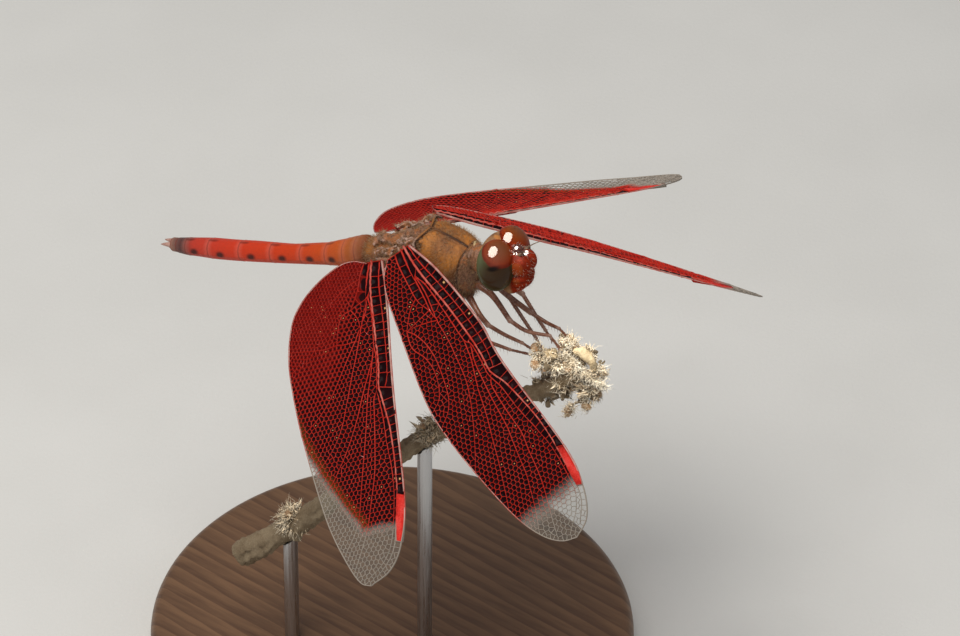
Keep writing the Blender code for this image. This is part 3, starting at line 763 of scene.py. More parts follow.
def make_thorax_material():
    """Ochre plates with a coppery glow, near-black seams and knobbed hinges; painted shade browns the
    lower sides and blackens the hollows, and a painted highlight pales the ridges.
    """
    material, tree, shader, place, mottle = new_surface("thorax_cuticle", BODY_PLACE, 1.1)
    dome = blend(tree, mottle["Patches"], (0.19, 0.062, 0.016), (0.55, 0.195, 0.028))
    dome = tint(tree, mottle["Speckle"], 0.38, dome, (0.30, 0.14, 0.05))
    # painted shade: the darker brown of the lower sides
    side = blend(tree, mottle["Speckle"], (0.055, 0.020, 0.011), (0.13, 0.050, 0.022))
    colour = blend(tree, mark(tree, "low"), dome, side)
    plate = blend(tree, mottle["Speckle"], (0.12, 0.05, 0.026), (0.33, 0.165, 0.095))
    plate = tint(tree, soft_step(tree, mottle["Patches"], 0.4, 0.65), 0.75, plate,
                 (0.42, 0.14, 0.04))
    plates = most(tree, mark(tree, "plates"), times(tree, mark(tree, "collar"), 0.85))
    colour = blend(tree, plates, colour, plate)
    # a painted highlight pales the ridges and painted shade makes the hollows near black, most of all
    # among the hinge plates
    pale = times(tree, soft_step(tree, mark(tree, "hollow"), 0.42, 0.1), plates)
    colour = tint(tree, pale, 0.65, colour, (0.64, 0.46, 0.38))
    painted_hollow_shade = times(tree, soft_step(tree, mark(tree, "hollow"), 0.52, 0.85),
                 plus(tree, 0.35, times(tree, plates, 0.55)))
    colour = blend(tree, painted_hollow_shade, colour, (0.02, 0.010, 0.008))
    colour = blend(tree, mark(tree, "dark"), colour, (0.022, 0.009, 0.007))
    colour = blend(tree, mark(tree, "ridge"), colour, (0.62, 0.46, 0.24))
    gloss = minus(tree, 0.55, times(tree, plates, 0.2))
    connect(tree, shader, Base_Color=colour, Roughness=gloss, Specular_IOR_Level=0.3,
            Normal=grain(tree, place, 7.0, 0.00006, 0.8))
    return material


def make_hair_material(name, root, tip):
    material, tree, shader, _, mottle = new_surface(name, BODY_PLACE, 2.0)
    connect(tree, shader, Base_Color=blend(tree, mottle["Speckle"], root, tip), Roughness=0.4,
            Specular_IOR_Level=0.4)
    return material


def build_thorax():
    points, faces, marks, hair = thorax_skin()
    skin = add_piece("thorax_skin", points, faces, [make_thorax_material()], "thorax", values=marks)
    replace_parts(skin, "thorax", "prothorax")
    rng = np.random.RandomState(3)
    roots, ways = scatter(points, faces, hair, 9000, rng)
    lengths = rng.uniform(0.22, 0.5, len(roots)) * np.where(roots[:, 2] < -0.5, 1.25, 1.0)
    ways = ways + rng.normal(0, 0.28, ways.shape) + (-0.35, 0, 0.0)
    coat = blades("thorax_hairs", roots - 0.02 * ways, ways, lengths, 0.011, 0.011,
                  (-0.25, 0, -0.15),
                  make_hair_material("thorax_hair", (0.30, 0.15, 0.06), (0.55, 0.36, 0.2)),
                  "thorax", chart=round_chart(roots, -6.0, 8.0))
    print("thorax skin", len(faces), "faces; hairs", len(roots), coat.name)


build_thorax()

# %% [markdown]
# ## Abdomen
#
# The abdomen is a row of ten rings that sags a little. Rings made one by one would leave gaps at
# their joints, so it is one loft along the middle line, with a raised rim at the end of each ring,
# a keel on the back and one along each side. The colours come from the distance along it: brown at
# the root, red-orange rings with a dark spot low on each side, a dark band and a pale tip.

# %% Abdomen measures
ABDOMEN_AT = Vector((-5.35, 0.0, 1.17))
ABDOMEN_TURN = Euler((0.0, math.radians(0.4), 0.0))
RING_ENDS = (0.0, 0.75, 2.2, 4.4, 7.3, 10.6, 14.0, 17.4, 20.0, 21.1, 21.75)
RING_SIZES = ((0.0, 1.18, 1.2), (1.5, 1.28, 1.22), (3.0, 1.12, 1.05), (5.0, 0.95, 0.88),
              (8.5, 0.84, 0.8), (13.0, 0.92, 0.84), (17.0, 0.92, 0.84), (20.0, 0.78, 0.72),
              (21.75, 0.6, 0.56))
ABDOMEN_SAG = ((0.0, 0.35), (2.0, 0.7), (5.0, 0.95), (8.5, 1.05), (14.0, 0.87), (20.0, 0.57),
               (23.0, 0.3))
ABDOMEN = BODY @ Matrix.LocRotScale(ABDOMEN_AT, ABDOMEN_TURN, None)
ABDOMEN_PLACE = make_place_group("Abdomen place", ABDOMEN)


def eased(stations, x, column=1):
    """A table's column read at x, eased between its stations."""
    table = np.array(stations)
    x = np.clip(x, table[0, 0], table[-1, 0])
    i = np.clip(np.searchsorted(table[:, 0], x, side="right") - 1, 0, len(table) - 2)
    t = (x - table[i, 0]) / (table[i + 1, 0] - table[i, 0])
    smooth_t = 0.5 * t + 0.5 * t * t * (3 - 2 * t)
    return table[i, column] + (table[i + 1, column] - table[i, column]) * smooth_t


# %% Abdomen skin
def abdomen_skin():
    sides = 64
    angles = np.linspace(0, math.tau, sides, endpoint=False)
    c, s = np.cos(angles), np.sin(angles)
    shape_y = np.sign(c) * np.abs(c) ** (2 / 2.1)
    shape_z = np.sign(s) * np.abs(s) ** (2 / 2.1)
    keel = np.exp(-((angles - math.pi / 2) / 0.09) ** 2)
    flank = (np.exp(-(np.minimum(angles, math.tau - angles) / 0.1) ** 2)
             + np.exp(-((angles - math.pi) / 0.1) ** 2))
    rings = []
    stations = []
    for start, end in zip(RING_ENDS, RING_ENDS[1:]):
        count = max(8, int((end - start) / 0.09))
        stations += [(start + (end - start) * (0.5 - 0.5 * math.cos(math.pi * k / count)),
                      k / count, end - start) for k in range(count)]
    stations.append((RING_ENDS[-1], 1.0, 1.0))
    for along, t, length in stations:
        t = 0.5 - 0.5 * math.cos(math.pi * t)
        half, tall = (float(eased(RING_SIZES, along, k)) for k in (1, 2))
        from_start, to_end = t * length, (1 - t) * length
        grow = (1.0 - 0.055 * math.exp(-(from_start / 0.14) ** 2)
                + 0.018 * math.exp(-(to_end / 0.12) ** 2) - 0.012)
        ridge = 1 + 0.05 * keel + 0.03 * flank
        sag = float(eased(ABDOMEN_SAG, along))
        z = shape_z * tall * grow * ridge
        y = shape_y * half * grow * ridge * (1 - 0.12 * np.maximum(z, 0) / tall)
        rings.append(np.stack([np.full(sides, -along), y, z - sag], axis=1))
    return sweep_rings(rings)


def fall(tree, value, near, far, kind="LINEAR"):
    """1 up to near, 0 from far on."""
    return add_node(tree, "MapRange", {0: value, 1: near, 2: far, 3: 1.0, 4: 0.0},
                    interpolation_type=kind).outputs[0]


def make_spot_group():
    """An oval spot: 1 inside, 0 outside, at a place and with half sizes in millimetres."""
    group, given, out = new_group(
        "Spot", [("Place", "NodeSocketVector", None), ("Centre", "NodeSocketVector", None),
                 ("Size", "NodeSocketVector", (1.0, 1.0, 1.0)), ("Soft", "NodeSocketFloat", 0.5)],
        [("Spot", "NodeSocketFloat")])
    gap = add_node(group, "VectorMath", {0: given["Place"], 1: given["Centre"]},
                   operation="SUBTRACT").outputs[0]
    ratio = add_node(group, "VectorMath", {0: gap, 1: given["Size"]},
                     operation="DIVIDE").outputs[0]
    far = add_node(group, "VectorMath", {0: ratio}, operation="LENGTH").outputs["Value"]
    outer = plus(group, 1.0, given["Soft"])
    inner = minus(group, 1.0, given["Soft"])
    group.links.new(fall(group, far, inner, outer, "SMOOTHSTEP"), out["Spot"])
    return group


SPOT = make_spot_group()


def colour_ramp(tree, factor, stops):
    """A colour ramp with (position, colour) stops."""
    node = add_node(tree, "ValToRGB", {0: factor})
    ramp = node.color_ramp
    ramp.elements[0].position, ramp.elements[0].color = stops[0][0], (*stops[0][1], 1.0)
    ramp.elements[1].position, ramp.elements[1].color = stops[-1][0], (*stops[-1][1], 1.0)
    for position, colour in stops[1:-1]:
        ramp.elements.new(position).color = (*colour, 1.0)
    return node.outputs[0]


def make_abdomen_material():
    material, tree, shader, place, mottle = new_surface("abdomen_cuticle", ABDOMEN_PLACE, 1.3)
    parts = split(tree, place)
    along = times(tree, parts[0], -1.0)
    uneven = plus(tree, along, times(tree, mottle["Patches"], 0.25))
    share = maths(tree, "DIVIDE", uneven, 24.0)
    colour = colour_ramp(tree, share, (
        (0.0, (0.27, 0.10, 0.045)), (0.05, (0.42, 0.12, 0.030)), (0.1, (0.56, 0.11, 0.018)),
        (0.2, (0.60, 0.080, 0.014)), (0.32, (0.64, 0.056, 0.012)), (0.6, (0.65, 0.046, 0.016)),
        (0.8, (0.55, 0.05, 0.03)), (0.845, (0.12, 0.05, 0.045)), (0.88, (0.045, 0.035, 0.035)),
        (0.915, (0.30, 0.17, 0.12))))
    # each ring: a pale sheen at its end, then a thin dark joint
    joint, sheen, spots = 0.0, 0.0, 0.0
    for number, (start, end) in enumerate(zip(RING_ENDS, RING_ENDS[1:])):
        gap = maths(tree, "ABSOLUTE", minus(tree, along, end))
        joint = most(tree, joint, fall(tree, gap, 0.03, 0.12))
        sheen = most(tree, sheen, fall(tree, gap, 0.1, 0.55))
        if 2 <= number <= 7:
            middle = start + 0.6 * (end - start)
            mirrored = add_node(tree, "CombineXYZ",
                                {0: parts[0], 1: maths(tree, "ABSOLUTE", parts[1]), 2: parts[2]})
            half = float(eased(RING_SIZES, middle, 1))
            sag = float(eased(ABDOMEN_SAG, middle))
            spot = use_group(tree, SPOT, Place=mirrored.outputs[0],
                             Centre=(-middle, half, 0.12 - sag),
                             Size=(0.42, 0.5, 0.24), Soft=0.55)["Spot"]
            spots = most(tree, spots, spot)
            line = use_group(tree, SPOT, Place=place, Centre=(-end + 0.45, 0.0, half - sag),
                             Size=(0.5, 0.14, 0.7), Soft=0.5)["Spot"]
            spots = most(tree, spots, times(tree, line, 0.55))
    colour = tint(tree, sheen, 0.16, colour, (0.72, 0.34, 0.28))
    colour = tint(tree, joint, 0.6, colour, (0.16, 0.03, 0.018))
    colour = tint(tree, spots, 0.93, colour, (0.018, 0.012, 0.012))
    colour = tint(tree, mottle["Speckle"], 0.22, colour, (0.30, 0.04, 0.02))
    connect(tree, shader, Base_Color=colour, Roughness=0.45, Specular_IOR_Level=0.12,
            Subsurface_Weight=0.05, Subsurface_Scale=0.0003,
            Normal=grain(tree, place, 9.0, 0.00004))
    return material


# %% Tail
def tail_shape():
    """Two slim claspers over a triangular plate."""
    root = RING_ENDS[-1]
    low = float(eased(ABDOMEN_SAG, root))
    shapes = [ball((-root - 0.3, 0, -0.04 - low), (0.42, 0.36, 0.26))]
    for s in (-1, 1):
        shapes.append(rod(((-root + 0.2, s * 0.18, 0.1 - low), (-root - 0.6, s * 0.26, 0.18 - low),
                           (-root - 1.2, s * 0.3, 0.24 - low)), (0.2, 0.22, 0.19, 0.13, 0.03),
                          step=0.08))
    shapes.append(rod(((-root, 0, -0.1 - low), (-root - 0.75, 0, -0.05 - low)), (0.22, 0.16, 0.06),
                      step=0.08))
    return join(shapes)


def make_tail_material():
    material, tree, shader, place, mottle = new_surface("tail_cuticle", ABDOMEN_PLACE, 3.0)
    colour = blend(tree, mottle["Patches"], (0.36, 0.17, 0.13), (0.60, 0.36, 0.29))
    connect(tree, shader, Base_Color=colour, Roughness=0.5,
            Normal=grain(tree, place, 12.0, 0.00003))
    return material


def build_abdomen():
    points, faces = abdomen_skin()
    skin = add_piece("abdomen_skin", points, faces, [make_abdomen_material()], "abdomen", ABDOMEN)
    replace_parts(skin, *[f"abdomen_{k:02d}" for k in range(1, 11)])
    points, faces = tail_shape()
    tail = add_piece("tail_claspers", points, faces, [make_tail_material()], "tail", ABDOMEN)
    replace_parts(tail, "tail")
    print("abdomen", len(faces), "faces in the tail")


build_abdomen()

# %% [markdown]
# ## Head
#
# The two eyes meet in a seam on the crown. Each is a finely faceted globe: rust red above, dark
# olive below with a greener rim, and a black point on the border between them. A real eye has
# thousands of facets; modelled ones would be far too many faces, so a bump stands for them. The
# face is one skin, so that no part looks stuck on: a shiny knob between the eyes, the swollen red
# frons, the lower face and the jaws.

# %% Eyes
EYE_RADII = (1.49, 1.67, 2.11)
EYE_SIDE = 1.14


def make_eye_material(side):
    name = "eye_left" if side > 0 else "eye_right"
    material, tree, shader, place, mottle = new_surface(name, HEAD_PLACE, 1.2)
    parts = split(tree, place)
    # the cap reaches lower towards the face than behind
    border = plus(tree, minus(tree, parts[2], 1.70), times(tree, parts[0], 0.746))
    border = plus(tree, border, times(tree, parts[1], side * 0.211))
    border = plus(tree, border, times(tree, minus(tree, mottle["Patches"], 0.5), 0.1))
    upper = colour_ramp(tree, soft_step(tree, border, 0.0, 1.6), (
        (0.0, (0.15, 0.012, 0.003)), (0.12, (0.27, 0.030, 0.004)), (0.5, (0.24, 0.048, 0.008)),
        (1.0, (0.14, 0.052, 0.014))))
    # painted reflection: a milky greyish-pink patch on the red cap beside the glint
    painted_reflection = use_group(tree, SPOT, Place=place, Centre=(0.75, side * 2.0, 1.45), Size=(0.9, 0.9, 0.9),
                     Soft=0.7)["Spot"]
    upper = tint(tree, painted_reflection, 0.3, upper, (0.21, 0.11, 0.085))
    core = use_group(tree, SPOT, Place=place, Centre=(0.95, side * 2.4, -0.4),
                     Size=(1.72, 1.6, 1.72), Soft=0.45)["Spot"]
    lower = blend(tree, core, (0.125, 0.150, 0.072), (0.045, 0.021, 0.008))
    lower = tint(tree, mottle["Patches"], 0.3, lower, (0.055, 0.04, 0.018))
    colour = blend(tree, soft_step(tree, border, -0.12, 0.06), lower, upper)
    point = use_group(tree, SPOT, Place=place, Centre=(0.68, side * 2.58, 0.5),
                      Size=(0.42, 0.5, 0.2), Soft=0.6)["Spot"]
    colour = tint(tree, point, 0.92, colour, (0.006, 0.003, 0.003))
    facets = add_node(tree, "TexVoronoi", {"Vector": place, "Scale": 20.0,
                      "Randomness": 0.25}).outputs["Distance"]
    connect(tree, shader, Base_Color=colour, Roughness=0.6, Specular_IOR_Level=0.0,
            Coat_Weight=0.3, Coat_Roughness=0.02, Coat_IOR=1.5,
            Normal=bumped(tree, facets, 0.000008, 0.35, invert=True))
    return material


def build_eyes():
    for name, side in (("eye_left", 1), ("eye_right", -1)):
        radii = [r - 0.01 for r in EYE_RADII]
        points, faces = ball((0, side * EYE_SIDE, 0), radii, segments=112, rings=72)
        # each globe leans forward at its top, and the two meet in a flat seam
        points[:, 0] += 0.1 * points[:, 2]
        points[:, 1] = side * np.maximum(side * points[:, 1], 0.012)
        obj = add_piece(name + "_globe", points, faces, [make_eye_material(side)], "eye", HEAD)
        CATCHLIT.objects.link(obj)
        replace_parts(obj, name)


# %% Face
def face_shapes():
    return [ball((-0.5, 0, -0.1), (1.1, 2.52, 2.06)),
            ball((-0.2, 0, 1.45), (0.3, 0.26, 0.38)),
            ball((-0.55, 0, 1.2), (0.5, 0.75, 0.5)),
            # the knob between the eyes, and its three ocelli
            ball((1.44, 0, 0.88), (0.44, 0.48, 0.44)), ball((1.2, 0, 0.72), (0.5, 0.62, 0.4)),
            ball((1.64, -0.48, 0.68), (0.15, 0.15, 0.15)),
            ball((1.64, 0.48, 0.68), (0.15, 0.15, 0.15)),
            # frons in two lobes
            ball((1.62, -0.46, -0.22), (0.98, 0.8, 0.98)),
            ball((1.62, 0.46, -0.22), (0.98, 0.8, 0.98)),
            ball((1.6, 0, -0.35), (0.94, 0.95, 0.98)),
            # lower face, jaws and lip
            ball((1.4, 0, -1.35), (0.86, 1.22, 0.72)), ball((1.36, 0, -1.75), (0.76, 1.12, 0.55)),
            ball((1.05, 0, -2.15), (0.62, 0.95, 0.45), (0, -25, 0)),
            ball((0.55, -0.72, -1.95), (0.72, 0.42, 0.68)),
            ball((0.55, 0.72, -1.95), (0.72, 0.42, 0.68)),
            ball((0.3, 0, -2.2), (0.95, 0.95, 0.52))]


def make_face_material():
    """Dark red in front, brown behind, with a darker knob and near-black creases."""
    material, tree, shader, place, mottle = new_surface("face_cuticle", HEAD_PLACE, 2.2)
    red = blend(tree, mottle["Patches"], (0.14, 0.006, 0.003), (0.30, 0.018, 0.005))
    red = tint(tree, mottle["Speckle"], 0.4, red, (0.36, 0.06, 0.012))
    behind = blend(tree, mottle["Patches"], (0.22, 0.10, 0.045), (0.40, 0.22, 0.11))
    colour = blend(tree, mark(tree, "front"), behind, red)
    colour = tint(tree, mark(tree, "rim"), 0.3, colour, (0.40, 0.12, 0.025))
    colour = blend(tree, mark(tree, "knob"), colour, (0.12, 0.03, 0.02))
    colour = blend(tree, mark(tree, "crown"), colour, (0.55, 0.22, 0.06))
    colour = tint(tree, mark(tree, "lines"), 0.45, colour, (0.05, 0.008, 0.006))
    colour = blend(tree, mark(tree, "groove"), colour, (0.004, 0.003, 0.003))
    pits = add_node(tree, "TexVoronoi", {"Vector": place, "Scale": 5.5}).outputs["Distance"]
    connect(tree, shader, Base_Color=colour, Roughness=0.5, Specular_IOR_Level=0.015,
            Coat_Weight=most(tree, mark(tree, "knob"), mark(tree, "groove")),
            Coat_Roughness=0.08,
            Normal=bumped(tree, soft_step(tree, pits, 0.0, 0.35), 0.00004, 0.5))
    return material


def build_face():
    points, normals, faces = fuse(face_shapes(), 0.05, 3)
    x, y, z = points.T
    front = fade(-x, -0.95, -0.65)
    knob = fade(np.linalg.norm((points - (1.44, 0, 0.88)) / (0.62, 0.66, 0.6), axis=1), 0.95, 1.1)
    groove = np.zeros(len(points))
    for s in (-1, 1):
        route = ((1.25, s * 1.0, 0.32), (1.7, s * 0.75, 0.38), (1.98, s * 0.35, 0.48),
                 (2.02, 0, 0.5))
        groove = np.maximum(groove, fade(line_gap(points, route), 0.1, 0.24))
    crease = fade(np.abs(y), 0.0, 0.12) * fade(-x, -2.0, -1.7) * fade(z, 0.5, 0.8)
    lines = np.zeros(len(points))
    for level in (-1.02, -1.6, -2.02):
        lines = np.maximum(lines,
                           fade(np.abs(z - level - 0.12 * y * y), 0.02, 0.1) * fade(-x, -1.2, -0.9))
    rim = fade(np.abs(np.abs(y) - 1.2 + 0.1 * (x - 1.5)), 0.02, 0.14) * front * fade(z, 0.2, 0.5)
    crown = fade(np.linalg.norm(points - (-0.25, 0, 1.65), axis=1), 0.25, 0.4)
    back = fade(x, -0.6, 0.3)
    points = points - normals * (0.06 * groove + 0.03 * lines + 0.03 * crease)[:, None]
    marks = {"front": front, "knob": knob, "groove": groove,
             "lines": np.maximum(lines, 0.6 * crease), "rim": rim, "crown": crown, "back": back}
    face = add_piece("face_skin", points, faces, [make_face_material()], "face", HEAD,
                     values=marks)
    CATCHLIT.objects.link(face)
    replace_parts(face, "head", "vertex", "frons", "clypeus", "mouthparts")
    rng = np.random.RandomState(5)
    weight = front * (1 - groove) * fade(-x, -1.9, -1.0) + 0.25 * back * fade(-z, 1.6, 2.4)
    roots, ways = scatter(points, faces, weight, 340, rng)
    ways = ways + rng.normal(0, 0.2, ways.shape)
    blades("face_bristles", roots - 0.02 * ways, ways, rng.uniform(0.12, 0.34, len(roots)), 0.009,
           0.009, (0.0, 0.0, -0.18),
           make_hair_material("bristle", (0.45, 0.32, 0.20), (0.85, 0.80, 0.68)),
           "face", HEAD, chart=round_chart(roots[:, [2, 1, 0]], -3.2, 2.2))
    print("face skin", len(faces), "faces")


# %% Feelers
def build_feelers():
    """Two stout joints, then a bristle of fine joints."""
    material, tree, shader, place, mottle = new_surface("feeler", HEAD_PLACE, 4.0)
    colour = blend(tree, mottle["Patches"], (0.10, 0.05, 0.03), (0.34, 0.24, 0.15))
    connect(tree, shader, Base_Color=colour, Roughness=0.35,
            Normal=grain(tree, place, 20.0, 0.00001))

    def joints(t, _):
        return 1.0 + 0.14 * abs(math.sin(9 * math.pi * t))

    for name, s in (("antenna_left", 1), ("antenna_right", -1)):
        shapes = [rod(((1.86, s * 0.52, 0.68), (2.05, s * 0.58, 0.82)), (0.13, 0.14, 0.1),
                      step=0.05),
                  rod(((2.02, s * 0.57, 0.8), (2.22, s * 0.62, 0.92)), (0.08, 0.09, 0.07),
                      step=0.05),
                  rod(((2.18, s * 0.61, 0.9), (2.7, s * 0.75, 1.12), (3.2, s * 0.93, 1.24),
                       (3.6, s * 1.1, 1.3)), (0.045, 0.035, 0.022, 0.01), step=0.05, sides=10,
                      ripple=joints)]
        points, faces = join(shapes)
        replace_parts(add_piece(name + "_feeler", points, faces, [material], "head", HEAD), name)


build_eyes()
build_face()
build_feelers()

# %% [markdown]
# ## Legs
#
# Thin reddish legs folded forward to the stem: a thigh, a shin with two combs of spines, and a foot
# of three joints with a pair of hooked claws. A skin modifier over edges would be quick but even; a
# tube for each part keeps its own thickness from joint to joint.

# %% Leg measures and material
# six points a leg: the hip, the thigh, the knee, the shin, the ankle and the foot's end
LEGS = {
    "front_right": ((5.1, -0.7, -2.0), (6.13, -0.86, -3.01), (7.25, -1.49, -4.93),
        (8.22, -1.32, -6.11), (9.53, -0.61, -7.15), (9.88, -0.67, -8.34)),
    "front_left": ((4.9, 0.7, -2.1), (5.35, 1.04, -4.4), (6.57, 1.3, -6.5),
        (7.8, 1.2, -7.4), (9.0, 1.0, -7.8), (9.8, 0.6, -8.1)),
    "middle_right": ((3.6, -0.9, -2.7), (5.0, -2.0, -3.9), (5.4, -2.1, -4.9),
        (6.2, -1.8, -6.1), (7.1, -1.37, -7.3), (7.7, -1.1, -8.4)),
    "middle_left": ((3.6, 0.9, -2.7), (4.1, 2.4, -4.4), (4.9, 2.9, -6.0),
        (6.0, 2.1, -7.4), (7.0, 1.4, -8.4), (7.75, 0.9, -9.0)),
    "hind_right": ((2.3, -1.0, -2.8), (3.0, -2.6, -4.0), (3.6, -3.2, -4.7),
        (5.0, -2.8, -5.9), (6.4, -2.2, -7.3), (7.2, -1.5, -8.3)),
    "hind_left": ((2.3, 1.0, -2.8), (2.4, 2.9, -4.6), (2.6, 3.4, -6.0),
        (4.3, 2.2, -7.6), (5.9, 1.1, -9.0), (6.8, 0.4, -9.5)),
}


def make_leg_material():
    material, tree, shader, place, mottle = new_surface("leg_cuticle", BODY_PLACE, 1.6)
    colour = blend(tree, mottle["Patches"], (0.13, 0.040, 0.018), (0.28, 0.105, 0.05))
    # painted highlights: pale pinkish flecks along the legs
    colour = tint(tree, soft_step(tree, mottle["Speckle"], 0.5, 0.8), 0.35, colour,
                  (0.46, 0.27, 0.21))
    # painted highlight: pale knees and ankles
    colour = tint(tree, mark(tree, "joint"), 0.5, colour, (0.55, 0.36, 0.28))
    connect(tree, shader, Base_Color=colour, Roughness=0.32, Specular_IOR_Level=0.6,
            Normal=grain(tree, place, 14.0, 0.00002))
    return material


# %% Leg shapes
def spines(route, count, length, radius, rng, start=0.12, end=0.98):
    """Roots, ways and lengths of two rows of spines along a limb."""
    path = smooth_line(route, 0.05)
    tangent = frames_along(path)[0]
    roots, ways, lengths = [], [], []
    down = np.array([0.0, 0.0, -1.0])
    for row in (-1, 1):
        for k in range(count):
            t = start + (end - start) * (k + 0.5 + rng.uniform(-0.15, 0.15)) / count
            i = int(t * (len(path) - 1))
            under = down - tangent[i] * (down @ tangent[i])
            under /= np.linalg.norm(under)
            across = np.cross(tangent[i], under)
            way = 0.75 * under + row * 0.7 * across + 0.55 * tangent[i]
            roots.append(path[i] + 0.6 * radius * way / np.linalg.norm(way))
            ways.append(way)
            lengths.append(length * rng.uniform(0.75, 1.1))
    return np.array(roots), np.array(ways), np.array(lengths)


def claws(route):
    """Two hooked claws at the end of a foot."""
    tip, before = np.array(route[-1]), np.array(route[-2])
    way = (tip - before) / np.linalg.norm(tip - before)
    side = np.cross(way, (0, 0, 1.0))
    side /= np.linalg.norm(side)
    hooks = []
    for s in (-1, 1):
        a = tip - 0.05 * way + s * 0.05 * side
        hooks.append(rod((a, a + 0.12 * way + s * 0.1 * side, a + 0.16 * way + s * 0.14 * side
                          + np.array((0, 0, -0.1))), (0.05, 0.04, 0.012), step=0.04, sides=8))
    return hooks


def build_legs():
    material = make_leg_material()
    rng = np.random.RandomState(9)
    for name, route in LEGS.items():
        femur, tibia, tarsus = route[:3], route[2:5], route[4:]
        front = name.startswith("front")
        shapes = [rod(femur, (0.33, 0.28, 0.24, 0.22, 0.21), step=0.15),
                  rod(tibia, (0.17, 0.165, 0.155, 0.145, 0.13), step=0.15),
                  ball(femur[0], (0.38, 0.34, 0.36)), ball(femur[-1], (0.23, 0.22, 0.23)),
                  ball(tibia[-1], (0.155, 0.145, 0.155))]
        foot = smooth_line(tarsus, 0.02)
        cuts = (0.0, 0.22, 0.5, 1.0)
        for a, b in zip(cuts, cuts[1:]):
            piece = foot[int(a * (len(foot) - 1)):int(b * (len(foot) - 1)) + 1]
            shapes.append(rod((piece[0], piece[len(piece) // 2], piece[-1]),
                              (0.1, 0.095, 0.12, 0.1), step=0.06, sides=10))
        shapes += claws(tarsus)
        points, faces = join(shapes)
        # where the painted highlight of the knees and ankles lies
        joint = np.maximum(fade(np.linalg.norm(points - np.array(femur[-1]), axis=1), 0.15, 0.45),
                           fade(np.linalg.norm(points - np.array(tibia[-1]), axis=1), 0.1, 0.3))
        leg = add_piece(f"leg_{name}", points, faces, [material], "leg", values={"joint": joint})
        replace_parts(leg, *[f"leg_{name}_{part}" for part in ("femur", "tibia", "tarsus")])
        rows = [spines(femur, 9, 0.22, 0.24, rng, 0.35),
                spines(tibia, 8 if front else 11, 0.42, 0.17, rng),
                spines(tarsus, 5, 0.14, 0.09, rng)]
        roots, ways, lengths = (np.concatenate([row[k] for row in rows]) for k in range(3))
        blades(f"leg_{name}_spines", roots, ways, lengths, 0.02, 0.02, (0, 0, -0.05), material,
               "leg", profile=(1.0, 0.7, 0.4))


build_legs()

# %% [markdown]
# ## Perch
#
# A dry stem with frayed flower heads. Each head is a lumpy core under curled bracts, with fine
# threads between them and a few round buds. Balls alone look like berries, so the bracts and
# threads are separate small solids that curl different ways.

# %% Perch measures
STEM = ((1.7, -13.4, -6.1), (0.9, -11.1, -8.3), (-0.84, -8.0, -10.2), (-3.8, -2.9, -14.3),
        (-6.9, 2.2, -19.9), (-9.5, 6.3, -24.4), (-11.6, 9.9, -27.7))
STEM_RADII = (0.6, 0.66, 0.7, 0.75, 0.85, 0.95, 1.05)
FLOWER_HEADS = (
    ((0.85, -10.9, -5.6), 1.15), ((1.15, -12.1, -5.5), 1.1), ((2.0, -12.5, -4.1), 1.15),
    ((1.6, -13.4, -5.5), 1.3), ((2.6, -13.9, -4.7), 0.95), ((2.65, -15.0, -5.9), 0.95),
    ((2.0, -14.5, -7.4), 1.4), ((1.85, -12.3, -7.4), 1.6), ((1.5, -10.7, -8.9), 1.4),
    ((-3.6, -3.3, -13.6), 1.5), ((-9.3, 6.2, -23.6), 1.6),
)
UPRIGHT_PLACE = make_place_group("Upright place", UPRIGHT)


def make_straw(name, dark, pale, rough=0.8):
    """Dry plant colour: paler in the topmost heads, greyer and darker below them."""
    material, tree, shader, place, mottle = new_surface(name, UPRIGHT_PLACE, 1.7)
    tone = plus(tree, times(tree, mottle["Patches"], 0.6), times(tree, mottle["Speckle"], 0.4))
    height = split(tree, place)[2]
    low = times(tree, soft_step(tree, height, -5.8, -8.6), 0.6)
    colour = blend(tree, low, blend(tree, tone, dark, pale), (0.15, 0.105, 0.062))
    connect(tree, shader, Base_Color=colour, Roughness=rough, Specular_IOR_Level=0.3,
            Normal=grain(tree, place, 8.0, 0.00008, 0.9))
    return material


# %% Perch shapes
HORN = ((1.5, -13.3, -3.85), (1.68, -14.1, -3.86), (1.7, -14.85, -4.3), (1.64, -15.15, -5.05))
FRINGE = ((1.14, -12.8, -4.06), (1.09, -13.7, -4.8), (1.34, -14.5, -5.46), (1.65, -15.4, -6.0),
          (1.99, -16.2, -6.4))
PITH = (0.82, -11.6, -4.6)
BIG_BUDS = (((0.55, -10.3, -4.35), (0.36, 0.34, 0.38)), ((-0.1, -10.75, -5.4), (0.38, 0.34, 0.36)),
            ((0.1, -13.85, -8.75), (0.3, 0.3, 0.5)), ((1.0, -14.95, -8.3), (0.28, 0.45, 0.26)))
TUFTS = (((0.4, -13.9, -8.4), 0.6), ((1.25, -14.75, -8.15), 0.55), ((0.45, -10.5, -4.8), 0.6),
         ((1.5, -12.9, -3.3), 0.6), ((1.62, -15.1, -5.1), 0.5), ((0.1, -13.85, -8.75), 0.62),
         ((1.0, -14.95, -8.3), 0.6), ((0.55, -10.3, -4.35), 0.55), ((-0.1, -10.75, -5.4), 0.55),
         ((0.82, -11.6, -4.6), 0.7))


def random_ways(rng, count):
    ways = rng.normal(0, 1, (count, 3))
    return ways / np.linalg.norm(ways, axis=1)[:, None]


def ribs(t, angle):
    """Uneven bark."""
    return (1 + 0.06 * math.sin(7 * angle + 2.5 * t) + 0.05 * math.sin(41 * t)
            + 0.04 * math.sin(3 * angle + 29 * t))


